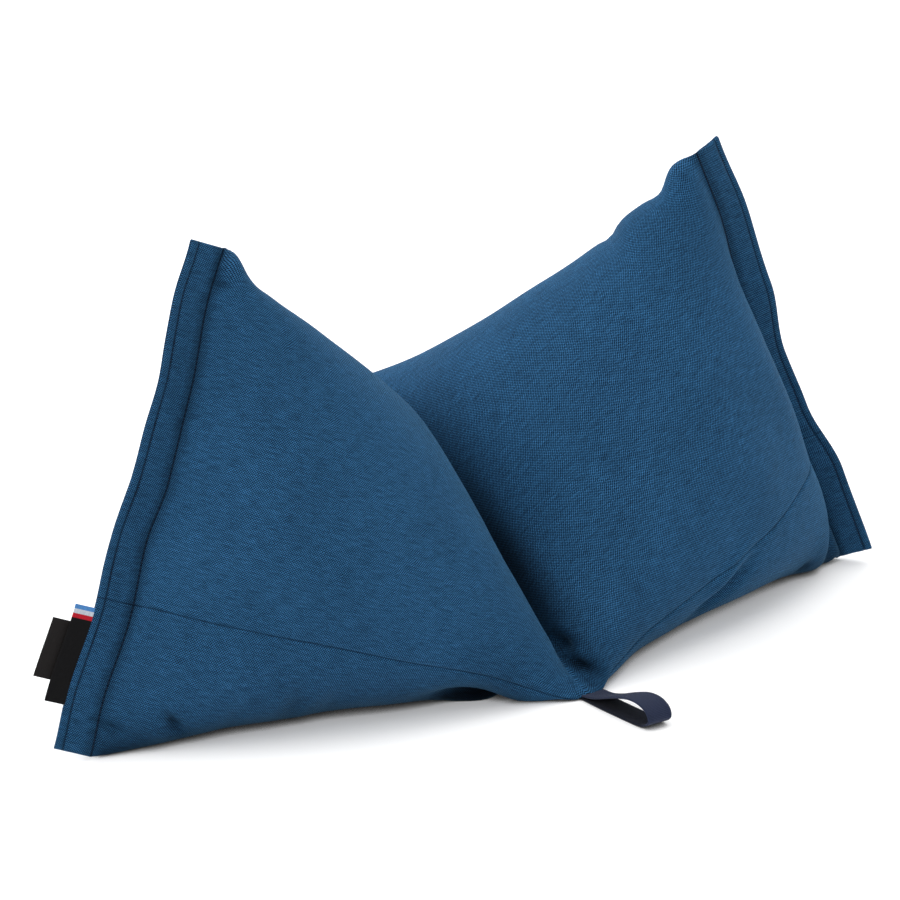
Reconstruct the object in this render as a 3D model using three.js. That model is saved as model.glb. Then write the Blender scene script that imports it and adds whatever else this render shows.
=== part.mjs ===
// A neck pillow of blue canvas: one cloth tube, sewn flat at both ends into wide flanges and sewn flat again
// across its middle, so that two filled lobes meet in a narrow waist. The neck lies in the saddle above the
// waist. A webbing loop is caught at the waist's front end and two woven labels at the left flange.
// Millimetres, +Z up, +X to the right lobe, +Y to the back. The floor is z = 0.
import * as THREE from 'three';

// The canvas tube as it is cut, laid flat
const FLAT_WIDTH = 265;
const LOBE_LENGTH = 243;
const FLANGE_WIDTH = 19;
const SEWN_THICKNESS = 3;
const WAIST_STRIP = 2;
// The long seam's place, as a share of the flat width from the top fold down the front
const LONG_SEAM = 0.7;

// The waist seam's front end, measured from the middle of the whole pillow's footprint
const WAIST_FRONT = { x: 11.9, y: -102.1, z: 4 };
// The other ends of the flat seams, measured from under the waist's front end
const SEAM_ENDS = {
  waistBack: { x: 0, y: 255.5, z: 95 },
  leftTop: { x: -144.5, y: 116.5, z: 240.5 },
  leftBottom: { x: -249, y: 79, z: 1 },
  rightTop: { x: 144.5, y: 102.5, z: 246 },
  rightBottom: { x: 232, y: 76, z: 1 },
};
// Which way each flange points at its two ends, in degrees from straight out towards the back
const FLANGE_TURN = {
  left: { top: -1, bottom: 19 },
  right: { top: 10, bottom: -42 },
};
// How far a flange strays from a straight one, down from its top: pull is towards the waist, both for the
// seam and the edge, and ripple is the edge's own, towards the front
const FLANGE_SWAY = {
  left: [
    { down: 0.0, pull: 0.0, ripple: 0.0 },
    { down: 0.28, pull: 3.5, ripple: 1.2 },
    { down: 0.46, pull: 1.5, ripple: -1.0 },
    { down: 0.58, pull: -1.2, ripple: 1.4 },
    { down: 0.72, pull: 0.5, ripple: -0.4 },
    { down: 0.9, pull: -1.5, ripple: 0.6 },
    { down: 1.0, pull: 0.0, ripple: 0.0 },
  ],
  right: [
    { down: 0.0, pull: 0.0, ripple: 0.0 },
    { down: 0.15, pull: 0.5, ripple: -1.0 },
    { down: 0.32, pull: 3.0, ripple: 0.5 },
    { down: 0.48, pull: 5.5, ripple: -2.5 },
    { down: 0.62, pull: 6.5, ripple: -1.0 },
    { down: 0.8, pull: 1.0, ripple: 1.0 },
    { down: 1.0, pull: 0.0, ripple: 0.0 },
  ],
};

// Filling: how hard it presses, how much more at the bottom, and how its weight settles near the floor, most
// under the thick back of the lobe, at this share of a turn around the tube from its top fold
const FILLING = {
  press: 1.5,
  depth: 0.6,
  settle: 1.5,
  settleBack: 4.0,
  settleHeight: 60,
  backTurn: 0.66,
  backReach: 0.2,
};
// Cloth: share of each fault that one pass mends
const CLOTH = { diagonal: 0.2, bend: 0.006, bendAtSeam: 0.3 };
const RELAXING = { steps: 420, passes: 3, stride: 0.02, drag: 0.96 };

// The grid of one lobe: rows from its end seam to the waist, points around the tube
const ROWS = 24;
const AROUND = 60;
const FLANGE_CELLS = 3;
const TOP_POINT = 0;
const BOTTOM_POINT = AROUND / 2;
const FRONT_POINT = Math.round((LONG_SEAM * AROUND) / 2);
const BACK_POINT = FRONT_POINT + AROUND / 2;

// Webbing of the carry loop, and its middle line from the seam out, over and back along the floor,
// measured from the waist's front end: out is to the front, side to the right, lean a tilt in degrees
const WEBBING = { width: 15, thickness: 1.2, steps: 44 };
const LOOP_PATH = [
  { out: 0.5, side: 0.0, z: 6.3, lean: 0 },
  { out: 9.0, side: 0.4, z: 6.0, lean: -4 },
  { out: 17.0, side: 1.2, z: 7.6, lean: -6 },
  { out: 27.0, side: 2.2, z: 11.4, lean: -4 },
  { out: 37.0, side: 3.4, z: 14.2, lean: 0 },
  { out: 44.5, side: 4.2, z: 13.4, lean: 2 },
  { out: 49.5, side: 4.6, z: 9.6, lean: 2 },
  { out: 50.5, side: 4.6, z: 5.2, lean: 1 },
  { out: 47.0, side: 4.2, z: 1.9, lean: 0 },
  { out: 40.5, side: 3.4, z: 0.8, lean: 0 },
  { out: 28.0, side: 2.0, z: 0.7, lean: 0 },
  { out: 15.0, side: 0.8, z: 1.4, lean: 0 },
  { out: 0.5, side: 0.0, z: 4.2, lean: 0 },
];

// The labels at the left flange's outer edge: from and to are shares of the way down the flange, reach is
// how far a label stands out past the edge, and front its place across the edge
const LABEL_GAP = 0.3;
const LABELS = {
  label_main: { from: 0.718, to: 0.909, reach: 10.5, front: 0.8, curl: 0.6, thickness: 1.0 },
  label_care: { from: 0.744, to: 0.861, reach: 18.6, front: -0.8, curl: -1.6, thickness: 1.0 },
};
const LABEL_CELLS = { along: 8, out: 4 };

const FINISHES = {
  canvas: { color: 0x244d7c, roughness: 0.9, metalness: 0 },
  webbing: { color: 0x1c2238, roughness: 0.85, metalness: 0 },
  wovenBlack: { color: 0x15151a, roughness: 0.75, metalness: 0 },
  careBlack: { color: 0x2a2928, roughness: 0.8, metalness: 0 },
};

const vector = ({ x, y, z }) => new THREE.Vector3(x, y, z);
const material = (finish) => new THREE.MeshStandardMaterial(FINISHES[finish]);

// A smooth value from a table of rows, between the rows where key passes at
function fromTable(rows, key, name, at) {
  let i = 0;
  while (i < rows.length - 2 && rows[i + 1][key] < at) i += 1;
  const share = THREE.MathUtils.clamp((at - rows[i][key]) / (rows[i + 1][key] - rows[i][key]), 0, 1);
  const eased = share * share * (3 - 2 * share);
  return THREE.MathUtils.lerp(rows[i][name], rows[i + 1][name], eased);
}

// How far down the flattened tube a point around it lies: 0 at one fold, 1 at the other
function foldShare(point, firstFold) {
  const turn = ((point - firstFold + AROUND) % AROUND) / (AROUND / 2);
  return turn <= 1 ? turn : 2 - turn;
}

// One end of the tube, sewn flat: its seam line, and the flange that stands out from it
class EndSeam {
  constructor(name, side) {
    this.side = side;
    this.top = vector(SEAM_ENDS[`${name}Top`]);
    this.bottom = vector(SEAM_ENDS[`${name}Bottom`]);
    this.turn = FLANGE_TURN[name];
    this.sway = FLANGE_SWAY[name];
    this.up = this.top.clone().sub(this.bottom).normalize();
  }

  // The direction in which the flange points, square to its seam
  out(down) {
    const angle = THREE.MathUtils.degToRad(THREE.MathUtils.lerp(this.turn.top, this.turn.bottom, down));
    const flat = new THREE.Vector3(this.side * Math.cos(angle), Math.sin(angle), 0);
    return flat.addScaledVector(this.up, -flat.dot(this.up)).normalize();
  }

  // The flange's own normal, on the side that faces the front
  facing(down) {
    return new THREE.Vector3().crossVectors(this.out(down), this.up).multiplyScalar(this.side);
  }

  // A point of the flange: reach is the distance out from the seam, front the distance from its middle
  at(down, reach, front) {
    const pull = fromTable(this.sway, 'down', 'pull', down);
    const ripple = fromTable(this.sway, 'down', 'ripple', down) * (reach / FLANGE_WIDTH);
    return this.top
      .clone()
      .lerp(this.bottom, down)
      .addScaledVector(this.out(down), reach - pull)
      .addScaledVector(this.facing(down), front + ripple);
  }

  // The ring of points around the flattened tube at one distance out from the seam
  ring(reach) {
    return Array.from({ length: AROUND }, (_, point) => {
      const fold = point === TOP_POINT || point === BOTTOM_POINT;
      const front = point < BOTTOM_POINT ? SEWN_THICKNESS / 2 : -SEWN_THICKNESS / 2;
      return this.at(foldShare(point, TOP_POINT), reach, fold ? 0 : front);
    });
  }
}

// The waist, sewn flat across the tube: the ring of points on one edge of its narrow strip
function waistRing(side, thickness) {
  const front = new THREE.Vector3(0, 0, WAIST_FRONT.z);
  const back = vector(SEAM_ENDS.waistBack);
  const along = back.clone().sub(front).normalize();
  const upper = new THREE.Vector3(0, -along.z, along.y);
  return Array.from({ length: AROUND }, (_, point) => {
    const fold = point === FRONT_POINT || point === BACK_POINT;
    const under = point > FRONT_POINT && point < BACK_POINT;
    const place = front.clone().lerp(back, foldShare(point, FRONT_POINT));
    place.x += (side * WAIST_STRIP) / 2;
    return fold ? place : place.addScaledVector(upper, ((under ? -1 : 1) * thickness) / 2);
  });
}

// The canvas of one lobe between its end seam and the waist. It starts as the flat-sided shape that joins the
// two crossed seams, and the filling then presses it out while its threads keep their length
class Lobe {
  constructor(seam) {
    this.side = seam.side;
    this.first = Array.from({ length: AROUND }, (_, point) => seam.at(foldShare(point, TOP_POINT), 0, 0));
    this.last = waistRing(seam.side, 0);
    this.size = (ROWS + 1) * AROUND * 3;
    this.places = new Float64Array(this.size);
    this.speeds = new Float64Array(this.size);
    for (let row = 0; row <= ROWS; row += 1) {
      this.first.forEach((start, point) => {
        start.clone().lerp(this.last[point], row / ROWS).toArray(this.places, this.index(row, point));
      });
    }
    this.highest = Math.max(...this.first.map((place) => place.z));
    this.restAlong = LOBE_LENGTH / ROWS;
    this.restAround = (2 * FLAT_WIDTH) / AROUND;
    this.restAcross = Math.hypot(this.restAlong, this.restAround);
  }

  index(row, point) {
    return 3 * (row * AROUND + ((point + AROUND) % AROUND));
  }

  place(row, point) {
    return new THREE.Vector3().fromArray(this.places, this.index(row, point));
  }

  // Draws two points together, or apart, until they lie a thread's length from each other
  pull(rowA, pointA, rowB, pointB, rest, share) {
    const freeA = rowA > 0 && rowA < ROWS ? 1 : 0;
    const freeB = rowB > 0 && rowB < ROWS ? 1 : 0;
    if (freeA + freeB === 0) return;
    const a = this.index(rowA, pointA);
    const b = this.index(rowB, pointB);
    const p = this.places;
    const length = Math.hypot(p[b] - p[a], p[b + 1] - p[a + 1], p[b + 2] - p[a + 2]);
    const mend = (share * (length - rest)) / (length * (freeA + freeB));
    for (let axis = 0; axis < 3; axis += 1) {
      const step = mend * (p[b + axis] - p[a + axis]);
      p[a + axis] += freeA * step;
      p[b + axis] -= freeB * step;
    }
  }

  // The threads along the tube, around it and across both diagonals, every second one at a time
  pullThreads() {
    for (let odd = 0; odd < 2; odd += 1) {
      for (let row = odd; row < ROWS; row += 2) {
        for (let point = 0; point < AROUND; point += 1) {
          this.pull(row, point, row + 1, point, this.restAlong, 1);
        }
      }
    }
    for (let odd = 0; odd < 2; odd += 1) {
      for (let row = 1; row < ROWS; row += 1) {
        for (let point = odd; point < AROUND; point += 2) {
          this.pull(row, point, row, point + 1, this.restAround, 1);
        }
      }
    }
    for (const turn of [1, -1]) {
      for (let odd = 0; odd < 2; odd += 1) {
        for (let row = odd; row < ROWS; row += 2) {
          for (let point = 0; point < AROUND; point += 1) {
            this.pull(row, point, row + 1, point + turn, this.restAcross, CLOTH.diagonal);
          }
        }
      }
    }
  }

  // How far each coordinate lies from the mean of its neighbours
  unevenness(values) {
    const result = new Float64Array(this.size);
    for (let row = 1; row < ROWS; row += 1) {
      for (let point = 0; point < AROUND; point += 1) {
        for (let axis = 0; axis < 3; axis += 1) {
          const here = this.index(row, point) + axis;
          const value = (r, p) => values[this.index(r, p) + axis];
          const around = value(row, point - 1) + value(row, point + 1);
          result[here] = around + value(row - 1, point) + value(row + 1, point) - 4 * values[here];
        }
      }
    }
    return result;
  }

  // Takes sharp bends out of the cloth, less beside its seams
  smooth() {
    const bends = this.unevenness(this.unevenness(this.places));
    for (let row = 1; row < ROWS; row += 1) {
      const share = row === 1 || row === ROWS - 1 ? CLOTH.bend * CLOTH.bendAtSeam : CLOTH.bend;
      for (let point = 0; point < AROUND; point += 1) {
        for (let axis = 0; axis < 3; axis += 1) {
          const here = this.index(row, point) + axis;
          this.places[here] -= share * bends[here];
        }
      }
    }
  }

  // The floor stops the cloth, and so does the other lobe at the middle plane
  stop() {
    for (let row = 1; row < ROWS; row += 1) {
      for (let point = 0; point < AROUND; point += 1) {
        const here = this.index(row, point);
        this.places[here] = this.side * Math.max(this.side * this.places[here], WAIST_STRIP / 2);
        this.places[here + 2] = Math.max(this.places[here + 2], 0);
      }
    }
  }

  // The filling's push on each point, along the cloth's normal and in step with the cloth's area
  push() {
    const forces = new Float64Array(this.size);
    const cell = this.restAlong * this.restAround;
    for (let row = 1; row < ROWS; row += 1) {
      for (let point = 0; point < AROUND; point += 1) {
        const along = this.place(row + 1, point).sub(this.place(row - 1, point));
        const around = this.place(row, point + 1).sub(this.place(row, point - 1));
        const height = this.places[this.index(row, point) + 2];
        const fromBack = Math.abs(point / AROUND - FILLING.backTurn) / FILLING.backReach;
        const weight = FILLING.settle + FILLING.settleBack * Math.max(0, 1 - fromBack);
        const settled = Math.max(0, 1 - height / FILLING.settleHeight) * weight;
        const press = FILLING.press * (1 + (FILLING.depth * (this.highest - height)) / FLAT_WIDTH + settled);
        const force = new THREE.Vector3().crossVectors(along, around).multiplyScalar(this.side / (4 * cell));
        force.multiplyScalar(press * FLAT_WIDTH).toArray(forces, this.index(row, point));
      }
    }
    return forces;
  }

  relax() {
    for (let step = 0; step < RELAXING.steps; step += 1) {
      const forces = this.push();
      const before = this.places.slice();
      for (let k = 0; k < this.size; k += 1) {
        this.speeds[k] = (this.speeds[k] + RELAXING.stride * forces[k]) * RELAXING.drag;
        this.places[k] += RELAXING.stride * this.speeds[k];
      }
      for (let pass = 0; pass < RELAXING.passes; pass += 1) {
        this.pullThreads();
        this.smooth();
        this.stop();
      }
      for (let k = 0; k < this.size; k += 1) this.speeds[k] = (this.places[k] - before[k]) / RELAXING.stride;
    }
    return this;
  }

  // The rings between the seams, from the end seam inwards
  rings() {
    return Array.from({ length: ROWS - 1 }, (_, k) =>
      Array.from({ length: AROUND }, (_unused, point) => this.place(k + 1, point)),
    );
  }
}

// A closed solid through rings of points, each end closed across the ring from point to point
function loft(rings) {
  const count = rings[0].length;
  const positions = rings.flat().flatMap((place) => place.toArray());
  const faces = [];
  for (let ring = 0; ring < rings.length - 1; ring += 1) {
    for (let point = 0; point < count; point += 1) {
      const a = ring * count + point;
      const b = ring * count + ((point + 1) % count);
      faces.push([a, b, b + count], [a, b + count, a + count]);
    }
  }
  const lastRing = (rings.length - 1) * count;
  for (let point = 0; point < count / 2; point += 1) {
    const mirror = (count - point) % count;
    const next = point + 1;
    const nextMirror = count - next;
    if (point > 0) {
      faces.push([point, mirror, next], [lastRing + point, lastRing + next, lastRing + mirror]);
    }
    if (next !== nextMirror) {
      faces.push([next, mirror, nextMirror], [lastRing + next, lastRing + nextMirror, lastRing + mirror]);
    }
  }
  const geometry = new THREE.BufferGeometry();
  geometry.setAttribute('position', new THREE.Float32BufferAttribute(positions, 3));
  geometry.setIndex(facingOut(faces, positions).flat());
  geometry.computeVertexNormals();
  return geometry;
}

// The faces, turned round if they enclose a negative volume
function facingOut(faces, positions) {
  const corner = (k) => new THREE.Vector3().fromArray(positions, 3 * k);
  const volume = faces.reduce((sum, [a, b, c]) => sum + corner(a).dot(corner(b).cross(corner(c))), 0);
  return volume > 0 ? faces : faces.map(([a, b, c]) => [a, c, b]);
}

function makeCushion(seams) {
  const flange = (seam) =>
    Array.from({ length: FLANGE_CELLS + 1 }, (_, k) => seam.ring((FLANGE_WIDTH * k) / FLANGE_CELLS));
  const left = new Lobe(seams.left).relax();
  const right = new Lobe(seams.right).relax();
  const rings = [
    ...flange(seams.left).reverse(),
    ...left.rings(),
    waistRing(-1, SEWN_THICKNESS),
    waistRing(1, SEWN_THICKNESS),
    ...right.rings().reverse(),
    ...flange(seams.right),
  ];
  return new THREE.Mesh(loft(rings), material('canvas'));
}

function makeLoop() {
  const stations = LOOP_PATH.map(({ out, side, z }) => new THREE.Vector3(side, -out, z));
  const path = new THREE.CatmullRomCurve3(stations, false, 'centripetal');
  const last = LOOP_PATH.length - 1;
  const rings = Array.from({ length: WEBBING.steps + 1 }, (_, step) => {
    const share = step / WEBBING.steps;
    const row = Math.min(Math.floor(share * last), last - 1);
    const lean = THREE.MathUtils.lerp(LOOP_PATH[row].lean, LOOP_PATH[row + 1].lean, share * last - row);
    const forward = path.getTangent(share);
    const across = new THREE.Vector3(1, 0, 0).applyAxisAngle(forward, THREE.MathUtils.degToRad(lean));
    across.addScaledVector(forward, -across.dot(forward)).normalize();
    const thick = new THREE.Vector3().crossVectors(forward, across);
    return [[-1, -1], [1, -1], [1, 1], [-1, 1]].map(([u, v]) =>
      path
        .getPoint(share)
        .addScaledVector(across, (u * WEBBING.width) / 2)
        .addScaledVector(thick, (v * WEBBING.thickness) / 2),
    );
  });
  return new THREE.Mesh(loft(rings), material('webbing'));
}

// A label: a thin sheet that stands out from the flange's edge and curls a little
function makeLabel(seam, { from, to, reach, front, curl, thickness }, finish) {
  const inner = Array.from({ length: LABEL_CELLS.out - 1 }, (_, k) => (k + 1) / LABEL_CELLS.out);
  const frontSide = inner.map((share) => [share, 1]);
  const backSide = inner.map((share) => [share, -1]).reverse();
  const profile = [[0, 0], ...frontSide, [1, 0], ...backSide];
  const rings = Array.from({ length: LABEL_CELLS.along + 1 }, (_, step) => {
    const down = THREE.MathUtils.lerp(from, to, step / LABEL_CELLS.along);
    return profile.map(([share, face]) => {
      const bend = curl * share * share;
      return seam.at(down, FLANGE_WIDTH + LABEL_GAP + share * reach, front + bend + (face * thickness) / 2);
    });
  });
  return new THREE.Mesh(loft(rings), material(finish));
}

const seams = { left: new EndSeam('left', -1), right: new EndSeam('right', 1) };
const pieces = {
  cushion: makeCushion(seams),
  loop: makeLoop(),
  label_main: makeLabel(seams.left, LABELS.label_main, 'wovenBlack'),
  label_care: makeLabel(seams.left, LABELS.label_care, 'careBlack'),
};

const pillow = new THREE.Group();
for (const [name, piece] of Object.entries(pieces)) {
  piece.name = name;
  pillow.add(piece);
}
pillow.position.set(WAIST_FRONT.x, WAIST_FRONT.y, 0);

export default pillow;
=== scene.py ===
"""The looks of a canvas neck pillow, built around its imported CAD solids.

The cover is one canvas tube. Each end is sewn flat into a wide flange, and the middle is sewn flat along a
line that crosses the flattening of the ends, so that two filled lobes meet in a narrow waist. Sizes are in
millimetres, measured from the floor under the waist's front end, and every mesh is put into the shared frame
in metres.
"""

from __future__ import annotations

import logging
import math
from dataclasses import dataclass
from enum import Enum
from typing import NamedTuple

import bmesh
import bpy
import numpy as np
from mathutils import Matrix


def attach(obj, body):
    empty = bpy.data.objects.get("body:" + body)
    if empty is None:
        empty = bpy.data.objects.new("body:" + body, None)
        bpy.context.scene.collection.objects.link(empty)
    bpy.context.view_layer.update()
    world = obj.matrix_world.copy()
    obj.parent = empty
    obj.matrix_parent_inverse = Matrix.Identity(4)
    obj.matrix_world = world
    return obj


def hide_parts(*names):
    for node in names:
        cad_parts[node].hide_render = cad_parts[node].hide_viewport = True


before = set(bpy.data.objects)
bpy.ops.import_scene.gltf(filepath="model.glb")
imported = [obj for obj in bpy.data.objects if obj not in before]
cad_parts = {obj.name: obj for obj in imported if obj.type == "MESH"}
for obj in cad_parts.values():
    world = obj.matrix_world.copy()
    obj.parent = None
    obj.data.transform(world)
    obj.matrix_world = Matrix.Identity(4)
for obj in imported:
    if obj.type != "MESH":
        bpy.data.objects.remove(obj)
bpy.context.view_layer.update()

LOG = logging.getLogger("neck_pillow")
METRE = 0.001
BODY = "root"
# The floor point under the waist's front end, in the shared frame
WAIST_FOOT = np.array([11.9, -102.1, 0.0])
CLOTH_MAP = "cloth"
# The cloth map holds millimetres of cloth times this, so that its numbers stay near one
MAP_SCALE = 0.01
# How much painted shade darkens a piece in its deep creases and near the floor, point by point
PAINTED_SHADE_LAYER = "shade"
Triple = tuple[float, float, float]
Colour = tuple[float, float, float, float]
Range = tuple[float, float]
WHITE: Colour = (1.0, 1.0, 1.0, 1.0)
# Where most of a noise's values lie
MIDDLE: Range = (0.3, 0.7)


class Side(Enum):
    """The two ends of the tube, by the sign of their X."""

    LEFT = -1
    RIGHT = 1


class Face(Enum):
    """The two faces of a flange: the one towards the camera's side and the one towards the back."""

    FRONT = 1
    BACK = -1


@dataclass(frozen=True)
class Cut:
    """The canvas tube as it is cut and sewn, laid flat.

    The long seam's place is a share of the flat width, from the top fold down the front. The outer row of
    stitches runs at its own distance out from the end seam.
    """

    flat_width: float = 265.0
    lobe_length: float = 243.0
    flange_width: float = 19.0
    outer_row: float = 15.0
    waist_strip: float = 2.0
    long_seam: float = 0.7

    @property
    def girth(self) -> float:
        """The length of cloth once around the tube."""
        return 2 * self.flat_width

    @property
    def front(self) -> float:
        """The waist's front fold and the long seam, as a distance around the tube from the top fold."""
        return self.long_seam * self.flat_width

    @property
    def back(self) -> float:
        """The waist's back fold, as a distance around the tube from the top fold."""
        return self.front + self.flat_width


CUT = Cut()


class Sway(NamedTuple):
    """How far a flange strays from a straight one, at a share of the way down from its top."""

    down: float
    pull: float
    ripple: float


class Station(NamedTuple):
    """A point of the webbing's middle line, measured from the waist's front end."""

    out: float
    side: float
    z: float
    lean: float


class Section(NamedTuple):
    """Half the flange's thickness at a distance out from its seam."""

    reach: float
    half: float


class Crease(NamedTuple):
    """A trough in the cloth, or a ridge where its depth is below zero.

    It lies at a distance in from the end seam and a distance around from the top fold, and runs at an angle,
    in degrees, from the tube's length towards the way round. Its dark is painted shade: the share of the
    cloth's colour that it takes away. Above one it takes away all of the colour over a wider middle. A crease
    without depth is only painted shade.
    """

    side: Side
    inward: float
    around: float
    angle: float
    length: float
    width: float
    depth: float
    dark: float = 0.0


class Push(NamedTuple):
    """A part of a lobe that lies further out, or further in, than the relaxed cloth.

    It lies at a distance in from the end seam and a distance around from the top fold, and fades with a bell
    over its two reaches. The move is in millimetres along X, Y and Z.
    """

    side: Side
    inward: float
    around: float
    reach_inward: float
    reach_around: float
    move: Triple


def eased(rows: tuple[NamedTuple, ...], key: str, name: str, at: np.ndarray) -> np.ndarray:
    """Reads a table between its rows, eased in and out of each.

    The share of the way between two rows, s, is eased to s * s * (3 - 2 * s).

    Args:
        rows: The table, its key rising from row to row.
        key: The column that is looked up.
        name: The column that is read.
        at: Where to read it.

    Returns:
        The values, in the shape of at.
    """
    keys = np.array([getattr(row, key) for row in rows], float)
    values = np.array([getattr(row, name) for row in rows], float)
    row = np.clip(np.searchsorted(keys, at, side="left") - 1, 0, len(rows) - 2)
    share = np.clip((at - keys[row]) / (keys[row + 1] - keys[row]), 0, 1)
    share = share * share * (3 - 2 * share)
    return values[row] + (values[row + 1] - values[row]) * share


def unit(vectors: np.ndarray) -> np.ndarray:
    """The vectors along the last axis, each divided by its length."""
    return vectors / np.linalg.norm(vectors, axis=-1, keepdims=True)


def above_floor(points: np.ndarray) -> np.ndarray:
    """The points, with those below the floor put on it."""
    return np.maximum(points, (-np.inf, -np.inf, 0.0))


def fold_share(around: np.ndarray, first_fold: float) -> np.ndarray:
    """How far a point around the flattened tube lies from its first fold, from 0 to 1 at the second.

    The distance around is folded back at the flat width, like a zigzag.
    """
    turn = np.mod(around - first_fold, CUT.girth) / CUT.flat_width
    return np.where(turn <= 1, turn, 2 - turn)


@dataclass(frozen=True)
class EndSeam:
    """One end of the tube, sewn flat: its seam line, and the flange that stands out from it."""

    side: Side
    top: Triple
    bottom: Triple
    turn_top: float
    turn_bottom: float
    sways: tuple[Sway, ...]

    def up(self) -> np.ndarray:
        """The seam line's direction, from its bottom to its top."""
        return unit(np.subtract(self.top, self.bottom))

    def out(self, down: np.ndarray) -> np.ndarray:
        """The direction in which the flange points, square to its seam.

        It is a level direction, turned towards the back by an angle that changes evenly down the flange, less
        its part along the seam.

        Args:
            down: The share of the way down from the top.

        Returns:
            The directions, with a last axis of three.
        """
        angle = np.radians(self.turn_top + (self.turn_bottom - self.turn_top) * down)
        level = np.stack([self.side.value * np.cos(angle), np.sin(angle), np.zeros_like(angle)], -1)
        return unit(level - (level @ self.up())[..., None] * self.up())

    def facing(self, down: np.ndarray) -> np.ndarray:
        """The flange's own normal, on the side that faces the front."""
        return np.cross(self.out(down), self.up()) * self.side.value

    def at(self, down: np.ndarray, reach: np.ndarray, front: np.ndarray) -> np.ndarray:
        """A point of the flange.

        It is the point of the straight seam line, moved out by the reach less the flange's pull, and to the
        front by the given distance plus a ripple that grows with the reach.

        Args:
            down: The share of the way down from the top.
            reach: The distance out from the seam.
            front: The distance from the flange's middle towards the front.

        Returns:
            The points, with a last axis of three.
        """
        down, reach, front = np.broadcast_arrays(down, reach, front)
        pull = eased(self.sways, "down", "pull", down)
        ripple = eased(self.sways, "down", "ripple", down) * reach / CUT.flange_width
        line = np.array(self.top) + down[..., None] * np.subtract(self.bottom, self.top)
        outwards = self.out(down) * (reach - pull)[..., None]
        return line + outwards + self.facing(down) * (front + ripple)[..., None]


@dataclass(frozen=True)
class Waist:
    """The line along which the tube's middle is sewn flat, from its front end near the floor to its back."""

    front: Triple = (0.0, 0.0, 4.0)
    back: Triple = (0.0, 255.5, 95.0)

    def upper(self) -> np.ndarray:
        """The direction square to the line, upwards."""
        along = unit(np.subtract(self.back, self.front))
        return np.array([0.0, -along[2], along[1]])

    def at(self, side: Side, around: np.ndarray) -> np.ndarray:
        """The points around one edge of the waist's narrow strip, at its middle height.

        Args:
            side: The strip's edge.
            around: The distances around the tube.

        Returns:
            The points, with a last axis of three.
        """
        share = fold_share(around, CUT.front)[..., None]
        line = np.array(self.front) + share * np.subtract(self.back, self.front)
        return line + np.array([side.value * CUT.waist_strip / 2, 0.0, 0.0])


LEFT_SEAM = EndSeam(
    side=Side.LEFT,
    top=(-144.5, 116.5, 240.5),
    bottom=(-249.0, 79.0, 1.0),
    turn_top=-1.0,
    turn_bottom=19.0,
    sways=(
        Sway(down=0.0, pull=0.0, ripple=0.0),
        Sway(down=0.1, pull=-1.4, ripple=0.3),
        Sway(down=0.28, pull=1.9, ripple=1.2),
        Sway(down=0.46, pull=2.4, ripple=-1.0),
        Sway(down=0.58, pull=-1.2, ripple=1.4),
        Sway(down=0.72, pull=0.5, ripple=-0.4),
        Sway(down=0.9, pull=-2.6, ripple=0.6),
        Sway(down=1.0, pull=-1.6, ripple=0.0),
    ),
)
RIGHT_SEAM = EndSeam(
    side=Side.RIGHT,
    top=(144.5, 102.5, 246.0),
    bottom=(232.0, 76.0, 1.0),
    turn_top=10.0,
    turn_bottom=-42.0,
    sways=(
        Sway(down=0.0, pull=0.0, ripple=0.0),
        Sway(down=0.13, pull=-1.2, ripple=-1.0),
        Sway(down=0.34, pull=2.8, ripple=0.5),
        Sway(down=0.5, pull=7.8, ripple=-2.5),
        Sway(down=0.63, pull=6.9, ripple=-1.0),
        Sway(down=0.8, pull=-0.2, ripple=1.0),
        Sway(down=1.0, pull=-1.2, ripple=0.0),
    ),
)
WAIST = Waist()


@dataclass(frozen=True)
class Filling:
    """How the loose filling presses on the cloth, and how its weight settles near the floor.

    The settling is strongest under the thick back of a lobe, at back_turn of a turn around the tube.
    """

    press: float = 1.5
    depth: float = 0.6
    settle: float = 1.5
    settle_back: float = 4.0
    settle_height: float = 60.0
    back_turn: float = 0.66
    back_reach: float = 0.2


class Stage(NamedTuple):
    """One stage of the relaxing: its net, its steps, its share of the press, and how stiffly cloth bends.

    A finer net needs less press for the same shape, because its threads give more.
    """

    rows: int
    around: int
    steps: int
    press: float
    bend: float


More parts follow.
